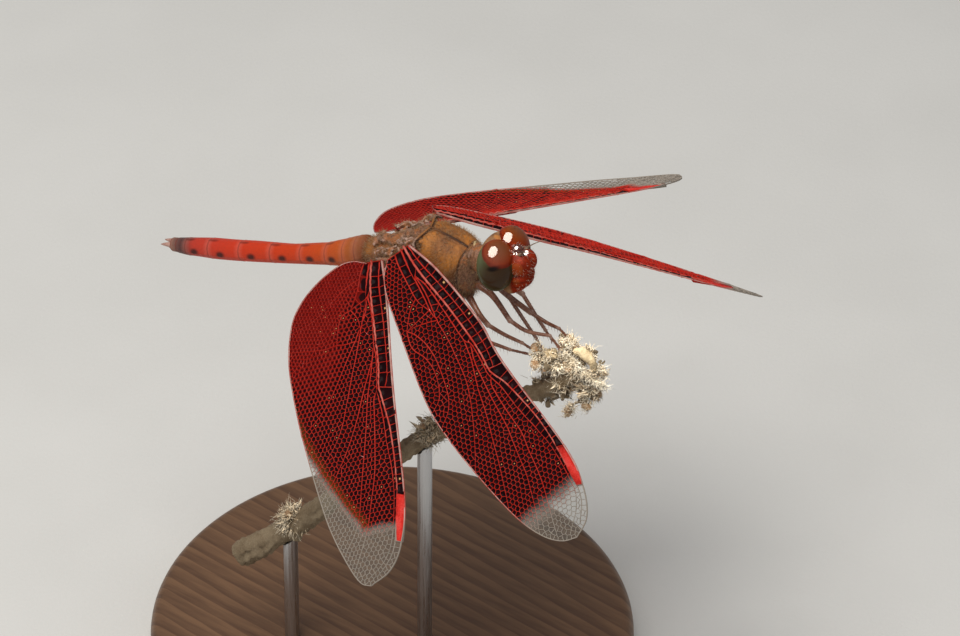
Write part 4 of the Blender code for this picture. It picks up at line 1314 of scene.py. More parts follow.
def build_stem(rng):
    """The stem, a stalk and a small knotted core for each head, and the round buds."""
    shapes = [rod(STEM, STEM_RADII, step=0.25, sides=28, ripple=ribs)]
    buds = [ball(*bud, segments=20, rings=14) for bud in BIG_BUDS]
    path = smooth_line(STEM, 0.2)
    shapes += [rod(((1.8, -14.3, -7.6), (1.1, -14.2, -8.1), tuft), (0.2, 0.14, 0.1), step=0.1,
                   sides=10)
               for tuft, _ in TUFTS[:2]]
    for centre, radius in FLOWER_HEADS:
        centre = np.array(centre)
        nearest = path[np.argmin(np.linalg.norm(path - centre, axis=1))]
        if np.linalg.norm(nearest - centre) > 0.5:
            shapes.append(rod((nearest, (nearest + centre) / 2 + (0.1, 0.1, -0.1), centre),
                              (0.3, 0.2, 0.18), step=0.2, sides=12))
        for _ in range(7):
            shapes.append(ball(centre + rng.normal(0, 0.34, 3) * radius,
                               radius * rng.uniform(0.12, 0.3, 3), rng.uniform(0, 180, 3), 16, 10))
        for way in random_ways(rng, 3):
            buds.append(ball(centre + way * radius * 0.62, radius * rng.uniform(0.12, 0.2, 3),
                             rng.uniform(0, 180, 3), 16, 10))
    points, _, faces = fuse(shapes, 0.1, 1)
    noise = np.sin(points[:, :1] * 5.1) * np.sin(points[:, 1:2] * 6.3) * np.sin(points[:, 2:] * 5.7)
    bark = make_straw("stem_bark", (0.16, 0.11, 0.06), (0.50, 0.40, 0.26))
    stem = add_piece("perch_stem", points + 0.09 * noise, faces, [bark], "stem", UPRIGHT)
    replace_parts(stem, "perch")
    add_piece("perch_buds", *join(buds),
              [make_straw("bud", (0.58, 0.30, 0.13), (0.88, 0.62, 0.38), 0.6)], "stem", UPRIGHT)
    horn = rod(HORN, (0.2, 0.4, 0.42, 0.34, 0.2), step=0.06, sides=24,
               ripple=lambda t, a: (1 + 0.07 * math.sin(9 * t + 2 * a)
                                    + 0.04 * math.sin(23 * t - 3 * a)))
    pith = join([ball(np.array(PITH) + off, radii, segments=24, rings=16) for off, radii in
                 (((0, 0, 0), (0.42, 0.46, 0.38)), ((0.2, 0.3, -0.1), (0.3, 0.34, 0.3)),
                  ((-0.05, -0.35, 0.1), (0.26, 0.3, 0.28)),
                  ((0.25, -0.1, 0.25), (0.25, 0.28, 0.22)))])
    straw = make_straw("pith", (0.30, 0.22, 0.12), (0.60, 0.49, 0.32), 0.7)
    points, faces = join([horn, pith])
    points = points + (0.035 * np.sin(points[:, [1, 2, 0]] * 17.0)
                       * np.sin(points[:, [2, 0, 1]] * 23.0))
    STRAWLIT.objects.link(add_piece("perch_horn", points, faces, [straw], "stem", UPRIGHT))


def build_bracts(rng):
    """Curled bracts and frayed threads all through each head, and a fringe over the front heads."""
    roots, ways, sizes = [], [], []
    for centre, radius in FLOWER_HEADS + TUFTS:
        count = int(95 * max(radius * radius, 0.4))
        way = random_ways(rng, count)
        roots.append(np.array(centre) + way * radius * rng.uniform(0.2, 0.72, (count, 1)))
        ways.append(way + rng.normal(0, 0.6, (count, 3)))
        sizes.append(np.full(count, radius))
    roots, ways, sizes = np.vstack(roots), np.vstack(ways), np.concatenate(sizes)
    n = len(roots)
    bracts = blades("perch_bracts", roots, ways, sizes * rng.uniform(0.22, 0.42, n),
                    sizes * rng.uniform(0.06, 0.13, n), 0.03, rng.normal(0, 0.35, (n, 3)),
                    make_straw("bract", (0.50, 0.36, 0.22), (0.95, 0.85, 0.67), 0.7), "stem",
                    UPRIGHT, profile=(0.5, 0.9, 1.0, 0.85, 0.5), sides=4, curl=0.16,
                    spin=rng.uniform(0, math.tau, n))
    loose = 3 * n
    pick = rng.choice(n, loose)
    route = smooth_line(FRINGE, 0.008)
    along = route[rng.choice(len(route), 700)]
    starts = np.vstack([roots[pick] + rng.normal(0, 0.16, (loose, 3)),
                        along + rng.normal(0, 0.13, (700, 3))])
    leans = np.vstack([ways[pick] + rng.normal(0, 0.7, (loose, 3)), random_ways(rng, 700)])
    lengths = np.concatenate([sizes[pick] * rng.uniform(0.25, 0.5, loose),
                              rng.uniform(0.25, 0.6, 700)])
    m = len(starts)
    threads = blades("perch_threads", starts, leans, lengths, 0.022, 0.022,
                     rng.normal(0, 0.4, (m, 3)),
                     make_straw("thread", (0.78, 0.65, 0.46), (0.95, 0.91, 0.80), 0.6), "stem",
                     UPRIGHT, profile=(1.0, 0.9, 0.8, 0.6), sides=3)
    for coat in (bracts, threads):
        STRAWLIT.objects.link(coat)
    print("perch", n, "bracts and", m, "threads")


perch_rng = np.random.RandomState(21)
build_stem(perch_rng)
build_bracts(perch_rng)

# %% [markdown]
# ## Wings
#
# A wing is a net of small cells between main veins. One way is a picture of veins on a plate, which
# fails at the edge and in close views. Here each cell is real: a tray with a rounded rim for its
# cross veins and a thin domed membrane. The main veins are named routes along the wing, in
# millimetres from the hinge and from the front edge's root. Between the front veins the cross veins
# stand at their own places; elsewhere seeds on a slanted lattice settle between the main veins.

# %% Wing measures
FORE_RUNGS = (0.3, 1.68, 2.55, 3.32, 4.14, 4.91, 5.64, 6.27, 6.91, 7.5, 8.14, 8.82, 9.55, 10.27,
    11.05, 11.8)
FOREWING = {
    "length": 27.36,
    "front": ((0.3, 0.0), (3.5, 0.84), (8.8, 1.39), (12.7, 1.17), (21.1, 1.6), (24.5, 1.07),
        (26.6, -0.05), (27.36, -1.61)),
    "rear": ((0.2, -2.2), (1.0, -3.05), (2.0, -3.6), (3.2, -3.97), (5.1, -4.4), (11.2, -5.72),
        (14.7, -5.87), (18.8, -5.5), (22.9, -4.85), (25.4, -3.95), (26.8, -2.85), (27.36, -1.61)),
    "stigma": (21.0, 24.4),
    "cell": 0.4, "base_cell": 0.34, "slant": -25.0,
    "clear": (22.9, 25.0, 40.0),
    "veins": {
        "subcosta": ((0.2, -0.23), (2, -0.14), (4, 0.18), (6, 0.45), (8, 0.61), (10, 0.64),
            (11.3, 0.52), (12.45, 0.28)),
        "radius": ((0.1, -0.5), (2, -0.56), (4, -0.4), (6, -0.16), (8, -0.02), (10, 0.06),
            (11.3, 0.02), (12.5, -0.12), (13.1, 0.02), (14, 0.38), (15, 0.59), (17, 0.92),
            (19, 1.08), (21, 1.0), (23, 0.78), (24.5, 0.62), (25.6, 0.15), (26.5, -0.65)),
        "nodus": ((12.68, 1.1), (12.6, 0.6), (12.42, -0.1)),
        "arculus": ((2.2, -0.56), (2.73, -1.07), (3.0, -1.2)),
        "sector": ((2.73, -1.07), (3.1, -0.88), (3.6, -0.73), (4.5, -0.64), (6, -0.59),
            (8, -0.57), (9.36, -0.52), (9.64, -0.3), (10, -0.2), (11, -0.23), (12, -0.33),
            (12.6, -0.4), (13.2, -0.32), (14, -0.1), (15, 0.0), (16, 0.06), (17, 0.19),
            (18, 0.36), (19, 0.5), (20, 0.63), (21, 0.66), (22, 0.6), (23, 0.5), (24.3, 0.3),
            (25, -0.05), (25.7, -0.6), (26.4, -1.5)),
        "sector_2": ((9.8, -0.22), (10.45, -0.45), (10.9, -0.64), (11.7, -0.82), (12.7, -0.95),
            (14, -1.12), (15, -1.22), (17, -1.39), (18, -1.6), (20, -2.0), (21, -2.2),
            (22, -2.55), (23.5, -3.1), (25.2, -3.9)),
        "between_1": ((13.1, -0.35), (13.5, -0.62), (14.2, -0.7), (16, -0.74), (18, -0.7),
            (19.5, -1.0), (21, -1.25), (22.5, -1.6), (24.5, -2.3), (26.3, -2.9)),
        "between_2": ((9.36, -0.55), (10, -0.68), (10.8, -0.84), (11.5, -1.08), (12.4, -1.42),
            (13.5, -1.8), (15, -2.2), (17, -2.9), (19, -3.6), (21, -4.4), (22.3, -4.95)),
        "media": ((2.73, -1.07), (3.3, -1.02), (4, -1.02), (4.6, -1.07), (5.45, -1.23),
            (6.36, -1.41), (7, -1.48), (8, -1.5), (9, -1.59), (10, -1.75), (11, -1.9), (12, -2.1),
            (13, -2.45), (14, -2.9), (15.5, -3.7), (17, -4.6), (18.3, -5.5)),
        "cubitus_stem": ((0.1, -0.83), (1, -1.0), (2, -1.14), (3, -1.2), (4, -1.3), (5, -1.42),
            (5.64, -1.55), (6.5, -1.46)),
        "anal": ((0.3, -1.46), (1, -1.64), (2, -1.77), (3, -1.85), (4, -1.94), (4.6, -1.9),
            (5.1, -1.74), (5.64, -1.56)),
        "triangle_side": ((5.64, -1.56), (5.75, -2.7), (5.88, -3.95)),
        "triangle_back": ((6.65, -1.46), (6.3, -2.3), (6.0, -3.2), (5.88, -3.95)),
        "triangle_low": ((4.2, -1.94), (4.6, -2.7), (5.2, -3.35), (5.88, -3.95)),
        "media_low": ((5.88, -3.95), (6.36, -3.6), (7, -3.36), (7.8, -3.18), (9, -3.18),
            (10, -3.35), (11.36, -3.7), (12.4, -4.1), (13.2, -4.75), (13.8, -5.75)),
        "cubitus": ((5.88, -3.95), (6.7, -4.25), (7.4, -4.3), (8.36, -3.92), (9.2, -3.8),
            (10, -3.87), (11, -4.2), (11.9, -4.8), (12.3, -5.6)),
    },
    "ladders": (
        ("front", "subcosta", FORE_RUNGS + (12.6,)),
        ("subcosta", "radius", FORE_RUNGS + (12.5,)),
        ("front", "radius", (12.6, 13.57, 14.38, 15.0, 15.5, 16.1, 16.75, 17.2, 17.7, 18.2, 19.0,
            19.95, 21.0)),
        ("radius", "cubitus_stem", (0.3, 2.4)),
        ("radius", "sector", (2.9, 3.75, 4.35, 4.95, 5.5, 6.05, 6.55, 7.05, 7.55, 8.05, 8.55, 9.0,
            9.5, 10.2, 10.9, 11.6, 12.3, 12.9, 13.5, 15.4, 15.8, 16.3, 16.7, 17.2, 17.7, 18.4,
            19.1, 19.7, 20.2, 20.9, 21.6, 22.3, 23.0, 23.7, 24.4)),
        ("cubitus_stem", "anal", (0.3, 1.35, 2.5, 3.0, 3.65, 4.3, 5.3)),
    ),
}
HIND_RUNGS = (0.3, 1.6, 2.4, 3.15, 3.9, 4.7, 5.4, 6.0, 6.7, 7.3, 8.0, 8.65)
HINDWING = {
    "length": 26.6,
    "front": ((0.3, 0.0), (3.6, 0.36), (11.0, 0.79), (20.0, 1.7), (23.7, 1.38), (25.7, 0.35),
        (26.6, -1.45)),
    "rear": ((0.2, -1.5), (-0.25, -2.8), (-0.1, -4.2), (1.0, -6.3), (2.5, -7.87), (4.2, -8.64),
        (7.1, -8.9), (11.0, -8.3), (15.0, -7.3), (20.0, -5.76), (22.7, -4.61), (25.2, -3.2),
        (26.3, -2.3), (26.6, -1.45)),
    "stigma": (19.95, 23.65),
    "cell": 0.4, "base_cell": 0.33, "slant": -30.0,
    "clear": (21.6, 22.6, -0.2),
    "veins": {
        "subcosta": ((0.2, -0.36), (2, -0.5), (4, -0.29), (6, -0.08), (8, 0.07), (9.5, 0.13),
            (10.64, 0.02)),
        "radius": ((0.1, -1.0), (1, -1.08), (2, -1.14), (3, -1.12), (4, -1.03), (6, -0.82),
            (8, -0.6), (9.5, -0.52), (10.64, -0.54), (11.3, -0.35), (12, -0.15), (13, 0.13),
            (14, 0.41), (15, 0.59), (17, 0.86), (19, 1.03), (20, 1.08), (21, 0.98), (22.9, 0.88),
            (24, 0.72), (25, 0.2), (25.9, -0.7)),
        "nodus": ((10.97, 0.74), (10.85, 0.2), (10.68, -0.5)),
        "arculus": ((2.6, -1.14), (3.1, -1.52), (3.2, -1.66)),
        "sector": ((3.1, -1.52), (3.7, -1.3), (4.7, -1.12), (6, -1.03), (7, -1.0), (7.5, -0.94),
            (8, -0.82), (9, -0.76), (10, -0.76), (11, -0.74), (12, -0.52), (13, -0.29),
            (14, -0.12), (15, 0.01), (16, 0.19), (17, 0.41), (18, 0.56), (19, 0.67), (20, 0.7),
            (22, 0.6), (23.2, 0.45), (24.3, 0.1), (25.2, -0.6), (25.8, -1.5)),
        "sector_2": ((10.9, -0.74), (11.6, -1.02), (12.5, -1.0), (15, -0.97), (17, -0.99),
            (18, -1.07), (19, -1.22), (20, -1.39), (21, -1.54), (22, -1.74), (23.5, -2.25),
            (25.3, -3.0)),
        "between_2": ((7.3, -0.98), (8, -1.14), (9, -1.26), (10, -1.41), (11, -1.6), (12, -1.7),
            (13, -1.76), (15, -1.94), (17, -2.16), (19, -2.36), (20.8, -2.54), (22, -2.9),
            (23.6, -3.85)),
        "sector_3": ((8.3, -1.18), (9.5, -1.6), (11, -2.1), (13, -2.7), (15, -3.5), (17, -4.6),
            (18.8, -5.9)),
        "media": ((3.2, -1.62), (3.8, -1.62), (4.45, -1.74), (5.2, -2.08), (6, -2.2), (7, -2.43),
            (8, -2.65), (9, -2.93), (10, -3.17), (11, -3.4), (12, -3.65), (13, -3.9), (14, -4.3),
            (15, -4.9), (16, -5.8), (16.7, -6.7)),
        "cubitus_stem": ((0.2, -1.25), (1, -1.45), (2, -1.6), (3.2, -1.66), (4.3, -1.85),
            (5.4, -2.12)),
        "anal": ((0.25, -1.75), (1.1, -2.1), (2, -2.27), (2.7, -2.5), (3.4, -2.84), (3.8, -3.07)),
        "triangle_side": ((3.2, -1.66), (3.45, -2.3), (3.8, -3.07)),
        "cubitus": ((3.8, -3.07), (4.2, -2.75), (4.7, -2.42), (5.5, -2.2)),
        "loop": ((3.8, -3.07), (4.0, -3.65), (4.4, -4.05), (5.3, -4.25), (6.42, -4.4)),
        "loop_rib": ((6.45, -2.68), (6.5, -3.2), (6.5, -3.8), (6.42, -4.4), (6.5, -5.6),
            (6.35, -7.0), (6.1, -8.7)),
        "anal_2": ((1.4, -2.2), (1.9, -3.5), (2.9, -5.0), (4.0, -6.6), (4.6, -8.6)),
        "media_low": ((5.6, -2.25), (6.6, -2.75), (8, -3.5), (9.5, -4.3), (11, -5.2),
            (12.3, -6.4), (13.2, -7.7)),
    },
    "ladders": (
        ("front", "subcosta", HIND_RUNGS + (9.5, 10.85)),
        ("subcosta", "radius", HIND_RUNGS + (9.4, 10.75)),
        ("front", "radius", (10.85, 11.9, 12.6, 13.3, 14.0, 14.65, 15.25, 15.95, 16.5, 17.05,
            17.6, 18.1, 18.8, 19.95)),
        ("radius", "cubitus_stem", (0.3, 2.8)),
        ("radius", "sector", (3.2, 4.2, 4.9, 5.6, 6.3, 7.0, 7.7, 8.5, 9.3, 10.1, 10.8, 11.5, 13.6,
            14.4, 14.9, 15.4, 15.9, 16.4, 16.9, 17.5, 18.1, 18.7, 19.3, 20.0, 20.8, 21.6, 22.4,
            23.2, 23.9)),
        ("cubitus_stem", "anal", (0.3, 1.1, 2.7, 3.4)),
    ),
}
# each wing's measures and side, its hinge, then degrees of sweep, droop, pitch and twist, and
# millimetres of sag at the tip and of cup at the rear
WINGS = {
    "forewing_right": (FOREWING, -1, (1.43, 1.76, 3.14), (55.0, 38.7, -19.5, -6.3), (0.63, 0.0)),
    "forewing_left": (FOREWING, 1, (1.43, 1.76, 3.14), (53.7, 40.6, -22.0, -9.5), (0.75, 0.0)),
    "hindwing_right": (HINDWING, -1, (-1.65, 2.18, 1.91), (19.4, 33.2, -3.3, -2.5), (-0.28, 0.0)),
    "hindwing_left": (HINDWING, 1, (-2.43, 1.38, 1.8), (21.6, 30.65, -14.8, 11.9), (-1.14, 1.49)),
}


# %% Lines of a wing
def wing_lines(wing):
    """The smoothed main veins and the two edges of a wing."""
    lines = {name: smooth_line(route, 0.3) for name, route in wing["veins"].items()}
    lines["front"] = smooth_line(wing["front"], 0.3)
    lines["rear"] = smooth_line(wing["rear"], 0.3)
    lines["root"] = np.array([wing["front"][0], wing["rear"][0]])
    start, end = wing["stigma"]
    for name, x in (("stigma_start", start), ("stigma_end", end)):
        top = np.interp(x, lines["front"][:, 0], lines["front"][:, 1])
        low = np.interp(x - 0.2, lines["radius"][:, 0], lines["radius"][:, 1])
        lines[name] = np.array([(x, top), (x - 0.2, low)])
    return lines


def outline_of(lines):
    return np.vstack([lines["front"], lines["rear"][::-1]])


def inside(points, ring):
    """Which points lie inside a closed ring."""
    x, y = points[:, :1], points[:, 1:]
    a, b = ring, np.roll(ring, -1, axis=0)
    crosses = (a[:, 1] > y) != (b[:, 1] > y)
    with np.errstate(divide="ignore", invalid="ignore"):
        at = a[:, 0] + (y - a[:, 1]) * (b[:, 0] - a[:, 0]) / (b[:, 1] - a[:, 1])
    return (np.sum(crosses & (x < at), axis=1) % 2) == 1


# %% Seeds of the cells
def lattice(step, slant, low, high, rng):
    """A jittered lattice of equal triangles over a box, turned by a slant in degrees."""
    reach = 0.5 * np.linalg.norm(np.array(high) - low) + step
    rows = int(2 * reach / (0.866 * step)) + 1
    columns = int(2 * reach / step) + 1
    i, j = np.meshgrid(np.arange(rows), np.arange(columns), indexing="ij")
    spots = np.stack([(j + 0.5 * (i % 2)) * step - reach, i * 0.866 * step - reach],
                     -1).reshape(-1, 2)
    spots += rng.uniform(-0.14 * step, 0.14 * step, spots.shape)
    angle = math.radians(slant)
    turn = np.array([[math.cos(angle), -math.sin(angle)], [math.sin(angle), math.cos(angle)]])
    spots = spots @ turn.T + (np.array(high) + low) / 2
    return spots[np.all((spots > low) & (spots < high), axis=1)]


def ladder_seeds(wing, lines):
    """One seed halfway between each two cross veins, halfway between the two main veins."""
    seeds = []
    for upper, lower, places in wing["ladders"]:
        for a, b in zip(places, places[1:]):
            x = (a + b) / 2
            top, low = (np.interp(x, lines[n][:, 0], lines[n][:, 1]) for n in (upper, lower))
            if top - low > 0.08:
                seeds.append((x, (top + low) / 2))
    start, end = wing["stigma"]
    x = (start + end) / 2 - 0.1
    seeds.append((x, (np.interp(x, lines["front"][:, 0], lines["front"][:, 1])
                      + np.interp(x, lines["radius"][:, 0], lines["radius"][:, 1])) / 2))
    return np.array(seeds)


def free_seeds(wing, lines, rng):
    """Lattice seeds behind the front ladders, closer together near the wing's root."""
    edge = outline_of(lines)
    low, high = edge.min(0), edge.max(0)
    wide = lattice(wing["cell"], wing["slant"], low, high, rng)
    fine = lattice(wing["base_cell"], wing["slant"] + 50.0, low, high, rng)

    def at_root(p):
        return (p[:, 0] + 0.9 * (p[:, 1] + 5.5) < 5.5) & (p[:, 1] < -1.6)

    spots = np.vstack([wide[~at_root(wide)], fine[at_root(fine)]])
    sector, stem = lines["sector"], lines["cubitus_stem"]
    roof = np.where(spots[:, 0] > sector[0, 0],
                    np.interp(spots[:, 0], sector[:, 0], sector[:, 1]),
                    np.interp(spots[:, 0], stem[:, 0], stem[:, 1]))
    past_ladders = spots[:, 0] > wing["ladders"][4][2][-1] + 0.2
    stem_end = wing["ladders"][5][2][-1]
    floor = np.interp(spots[:, 0], lines["anal"][:, 0], lines["anal"][:, 1])
    in_stem = (spots[:, 0] < stem_end) & (spots[:, 1] > floor - 0.1)
    keep = inside(spots, edge) & ((spots[:, 1] < roof - 0.08) | past_ladders) & ~in_stem
    return spots[keep]


# %% Settling the cells
SMALLEST_CELL = 0.012  # square millimetres; a smaller scrap is left out


def clip(polygon, px, py, nx, ny):
    """The part of a convex polygon on the side of the line through p that n points away from."""
    out = []
    count = len(polygon)
    heights = [(x - px) * nx + (y - py) * ny for x, y in polygon]
    for i in range(count):
        j = (i + 1) % count
        a, b = heights[i], heights[j]
        if a <= 0:
            out.append(polygon[i])
        if (a < 0 < b) or (b < 0 < a):
            t = a / (a - b)
            out.append((polygon[i][0] + (polygon[j][0] - polygon[i][0]) * t,
                        polygon[i][1] + (polygon[j][1] - polygon[i][1]) * t))
    return out


def meets(polygon, a, b):
    """Whether a stretch from a to b passes through a convex polygon that turns anticlockwise."""
    low, high = 0.0, 1.0
    dx, dy = b[0] - a[0], b[1] - a[1]
    for i in range(len(polygon)):
        x0, y0 = polygon[i]
        x1, y1 = polygon[(i + 1) % len(polygon)]
        nx, ny = y1 - y0, x0 - x1
        start = (a[0] - x0) * nx + (a[1] - y0) * ny
        change = dx * nx + dy * ny
        if abs(change) < 1e-12:
            if start > 0:
                return False
            continue
        t = -start / change
        if change > 0:
            high = min(high, t)
        else:
            low = max(low, t)
        if low >= high:
            return False
    return (high - low) * math.hypot(dx, dy) > 0.04


def cells_of(seeds, starts, ends):
    """A convex cell around each seed, bounded by its visible neighbours and by the main veins."""
    cells = []
    middles = (starts + ends) / 2
    for seed in seeds:
        gap = np.linalg.norm(seeds - seed, axis=1)
        near = np.argsort(gap)[1:60]
        near = near[gap[near] < 3.2]
        close = np.where(np.linalg.norm(middles - seed, axis=1) < 3.4)[0]
        a, b = starts[close], ends[close]
        # a neighbour counts where the way to it crosses no main vein
        to = seeds[near] - seed
        along = b - a
        det = to[:, :1] * -along[None, :, 1] + to[:, 1:] * along[None, :, 0]
        rel = a - seed
        with np.errstate(divide="ignore", invalid="ignore"):
            t = (rel[None, :, 0] * -along[None, :, 1] + rel[None, :, 1] * along[None, :, 0]) / det
            u = (to[:, :1] * rel[None, :, 1] - to[:, 1:] * rel[None, :, 0]) / det
        hidden = np.any((t > 0) & (t < 1) & (u >= 0) & (u <= 1), axis=1)
        x, y = seed
        polygon = [(x - 3, y - 3), (x + 3, y - 3), (x + 3, y + 3), (x - 3, y + 3)]
        for other in near[~hidden]:
            ox, oy = seeds[other]
            reach = max((px - x) ** 2 + (py - y) ** 2 for px, py in polygon) ** 0.5
            if gap[other] > 2 * reach:
                break
            polygon = clip(polygon, (x + ox) / 2, (y + oy) / 2, ox - x, oy - y)
        span = np.clip(np.sum((seed - a) * along, 1) / np.sum(along * along, 1), 0, 1)
        order = np.argsort(np.linalg.norm(a + along * span[:, None] - seed, axis=1))
        for i in order:
            if len(polygon) < 3:
                break
            if not meets(polygon, a[i], b[i]):
                continue
            nx, ny = -along[i][1], along[i][0]
            if (x - a[i][0]) * nx + (y - a[i][1]) * ny > 0:
                nx, ny = -nx, -ny
            polygon = clip(polygon, a[i][0], a[i][1], nx, ny)
        cells.append(polygon)
    return cells


def centre_of(polygon):
    area = cx = cy = 0.0
    for (x0, y0), (x1, y1) in zip(polygon, polygon[1:] + polygon[:1]):
        cross = x0 * y1 - x1 * y0
        area += cross
        cx += (x0 + x1) * cross
        cy += (y0 + y1) * cross
    return (cx / (3 * area), cy / (3 * area)), area / 2


def settle(wing, lines, rounds=5):
    """Cells of even size that fit between the main veins."""
    rng = np.random.RandomState(7)
    fixed = ladder_seeds(wing, lines)
    loose = free_seeds(wing, lines, rng)
    starts = np.vstack([line[:-1] for line in lines.values()])
    ends = np.vstack([line[1:] for line in lines.values()])
    for _ in range(rounds):
        seeds = np.vstack([fixed, loose])
        cells = cells_of(seeds, starts, ends)
        moved = []
        for polygon in cells[len(fixed):]:
            if len(polygon) < 3:
                continue
            centre, area = centre_of(polygon)
            if area > SMALLEST_CELL:
                moved.append(centre)
        loose = np.array(moved)
    cells = cells_of(np.vstack([fixed, loose]), starts, ends)
    return cells, len(fixed)


# %% Trays
RIM_HALF_WIDTH = 0.023
RIM_HEIGHT = 0.05
FILM_HEIGHT = 0.008
# the places of a wing's materials, as wing_materials lists them
CROSS_VEIN, MEMBRANE, STIGMA, MAIN_VEIN, EDGE_VEIN = range(5)


def tidy_ring(polygon, shortest=0.05):
    """The corners of a cell without any that nearly coincide."""
    ring = []
    for corner in polygon:
        if not ring or math.dist(corner, ring[-1]) > shortest:
            ring.append(corner)
    while len(ring) > 3 and math.dist(ring[0], ring[-1]) <= shortest:
        ring.pop()
    return ring


def inset(ring, distance):
    """A smaller copy of a convex ring, each side moved in by a distance."""
    count = len(ring)
    out = []
    for i in range(count):
        p, q, r = ring[i - 1], ring[i], ring[(i + 1) % count]
        ax, ay = q[0] - p[0], q[1] - p[1]
        bx, by = r[0] - q[0], r[1] - q[1]
        la, lb = math.hypot(ax, ay), math.hypot(bx, by)
        n1, n2 = (-ay / la, ax / la), (-by / lb, bx / lb)
        scale = distance / max(0.35, 1 + n1[0] * n2[0] + n1[1] * n2[1])
        out.append((q[0] + (n1[0] + n2[0]) * scale, q[1] + (n1[1] + n2[1]) * scale))
    return out


def lift_field(lines):
    """Heights of the main veins above the wing's middle surface: the folds of the wing."""
    heights = {"front": 0.02, "subcosta": -0.12, "radius": 0.13, "sector": -0.05, "sector_2": 0.05,
               "between_1": -0.03, "between_2": -0.04, "media": 0.06, "sector_3": -0.05,
               "cubitus_stem": -0.08, "anal": 0.05, "media_low": 0.05, "cubitus": -0.04,
               "rear": 0.0, "loop": 0.02, "loop_rib": -0.04, "anal_2": 0.03}
    spots = np.vstack([lines[n][::2] for n in heights if n in lines])
    lifts = np.concatenate([np.full(len(lines[n][::2]), h)
                            for n, h in heights.items() if n in lines])

    def lift(points):
        points = np.asarray(points, float)
        result = np.empty(len(points))
        for i in range(0, len(points), 4000):
            gap = np.sum((points[i:i + 4000, None, :] - spots[None]) ** 2, axis=2)
            weight = 1 / (gap + 0.004) ** 1.5
            result[i:i + 4000] = (weight @ lifts) / weight.sum(1)
        return result

    return lift


def cell_trays(wing, lines):
    """Points, faces, kinds and corner maps of all the cells of one wing, both faces of it."""
    cells, fixed = settle(wing, lines)
    draw = random.Random(11)
    flat, height, faces, kinds, chart = [], [], [], [], []
    stigma_cell = fixed - 1
    for number, polygon in enumerate(cells):
        if len(polygon) < 3:
            continue
        ring = tidy_ring(polygon)
        if len(ring) < 3:
            continue
        centre, area = centre_of(ring)
        if area < SMALLEST_CELL:
            continue
        width = min(RIM_HALF_WIDTH, 0.28 * math.sqrt(area))
        luck = draw.random()
        dome = draw.uniform(-0.005, 0.005) * min(1.0, area / 0.1)
        tilt = (draw.gauss(0, 0.07), draw.gauss(0, 0.07))
        for side in (1, -1):
            base = len(flat)
            rings = (ring, inset(ring, 0.5 * width), inset(ring, width))
            for level, corners in enumerate(rings):
                flat += corners
                rise = side * (RIM_HEIGHT, 0.8 * RIM_HEIGHT, FILM_HEIGHT)[level]
                height += [rise + (level == 2)
                           * ((px - centre[0]) * tilt[0] + (py - centre[1]) * tilt[1])
                           for px, py in corners]
            flat.append(centre)
            height.append(side * FILM_HEIGHT + dome)
            n = len(ring)
            for i in range(n):
                j = (i + 1) % n
                for level in (0, 1):
                    a, b = base + level * n, base + (level + 1) * n
                    quad = [a + i, a + j, b + j, b + i]
                    faces.append(quad[::side])
                    kinds.append(CROSS_VEIN)
                    chart += [(0.0, luck)] * 4
                fan = [base + 2 * n + i, base + 2 * n + j, base + 3 * n]
                faces.append(fan[::side])
                kinds.append(STIGMA if number == stigma_cell else MEMBRANE)
                chart += [(0.0, luck), (0.0, luck), (1.0, luck)][::side]
    return np.array(flat), np.array(height), faces, kinds, chart


# %% Vein tubes
TUBE_KINDS = {"front": EDGE_VEIN, "radius": MAIN_VEIN, "rear": EDGE_VEIN, "nodus": MAIN_VEIN}


def vein_tubes(lines, lift):
    """Tapered tubes along the main veins and the edges."""
    widths = {"front": (0.10, 0.075, 0.045), "rear": (0.04, 0.04, 0.035),
              "subcosta": (0.07, 0.05, 0.035), "radius": (0.095, 0.07, 0.04),
              "sector": (0.065, 0.05, 0.03), "nodus": (0.05, 0.05, 0.05),
              "cubitus_stem": (0.085, 0.07, 0.045), "anal": (0.07, 0.055, 0.04),
              "arculus": (0.06, 0.06, 0.06), "stigma_start": (0.05, 0.05, 0.05),
              "stigma_end": (0.04, 0.04, 0.04), "root": (0.05, 0.05, 0.05)}
    flat, height, faces, kinds = [], [], [], []
    sides = 6
    for name, line in lines.items():
        start, middle, end = widths.get(name, (0.055, 0.045, 0.028))
        tangent = np.gradient(line, axis=0)
        tangent /= np.linalg.norm(tangent, axis=1)[:, None]
        across = np.stack([-tangent[:, 1], tangent[:, 0]], axis=1)
        level = lift(line)
        base = len(flat)
        for k, spot in enumerate(line):
            t = k / (len(line) - 1)
            radius = (start + (middle - start) * 2 * t if t < 0.5
                      else middle + (end - middle) * (2 * t - 1))
            shift = {"front": -1.0, "rear": 1.0}.get(name, 0.0) * radius
            for i in range(sides):
                angle = math.tau * i / sides
                out = across[k] * (radius * math.cos(angle) + shift)
                flat.append(tuple(spot + out))
                height.append(level[k] + radius * math.sin(angle))
        for k in range(len(line) - 1):
            for i in range(sides):
                j = (i + 1) % sides
                a, b = base + k * sides, base + (k + 1) * sides
                faces.append([a + i, a + j, b + j, b + i])
                kinds.append(TUBE_KINDS.get(name, CROSS_VEIN))
        for end_ring in (base, base + (len(line) - 1) * sides):
            faces.append([end_ring + i for i in range(sides)])
            kinds.append(CROSS_VEIN)
    return np.array(flat), np.array(height), faces, kinds


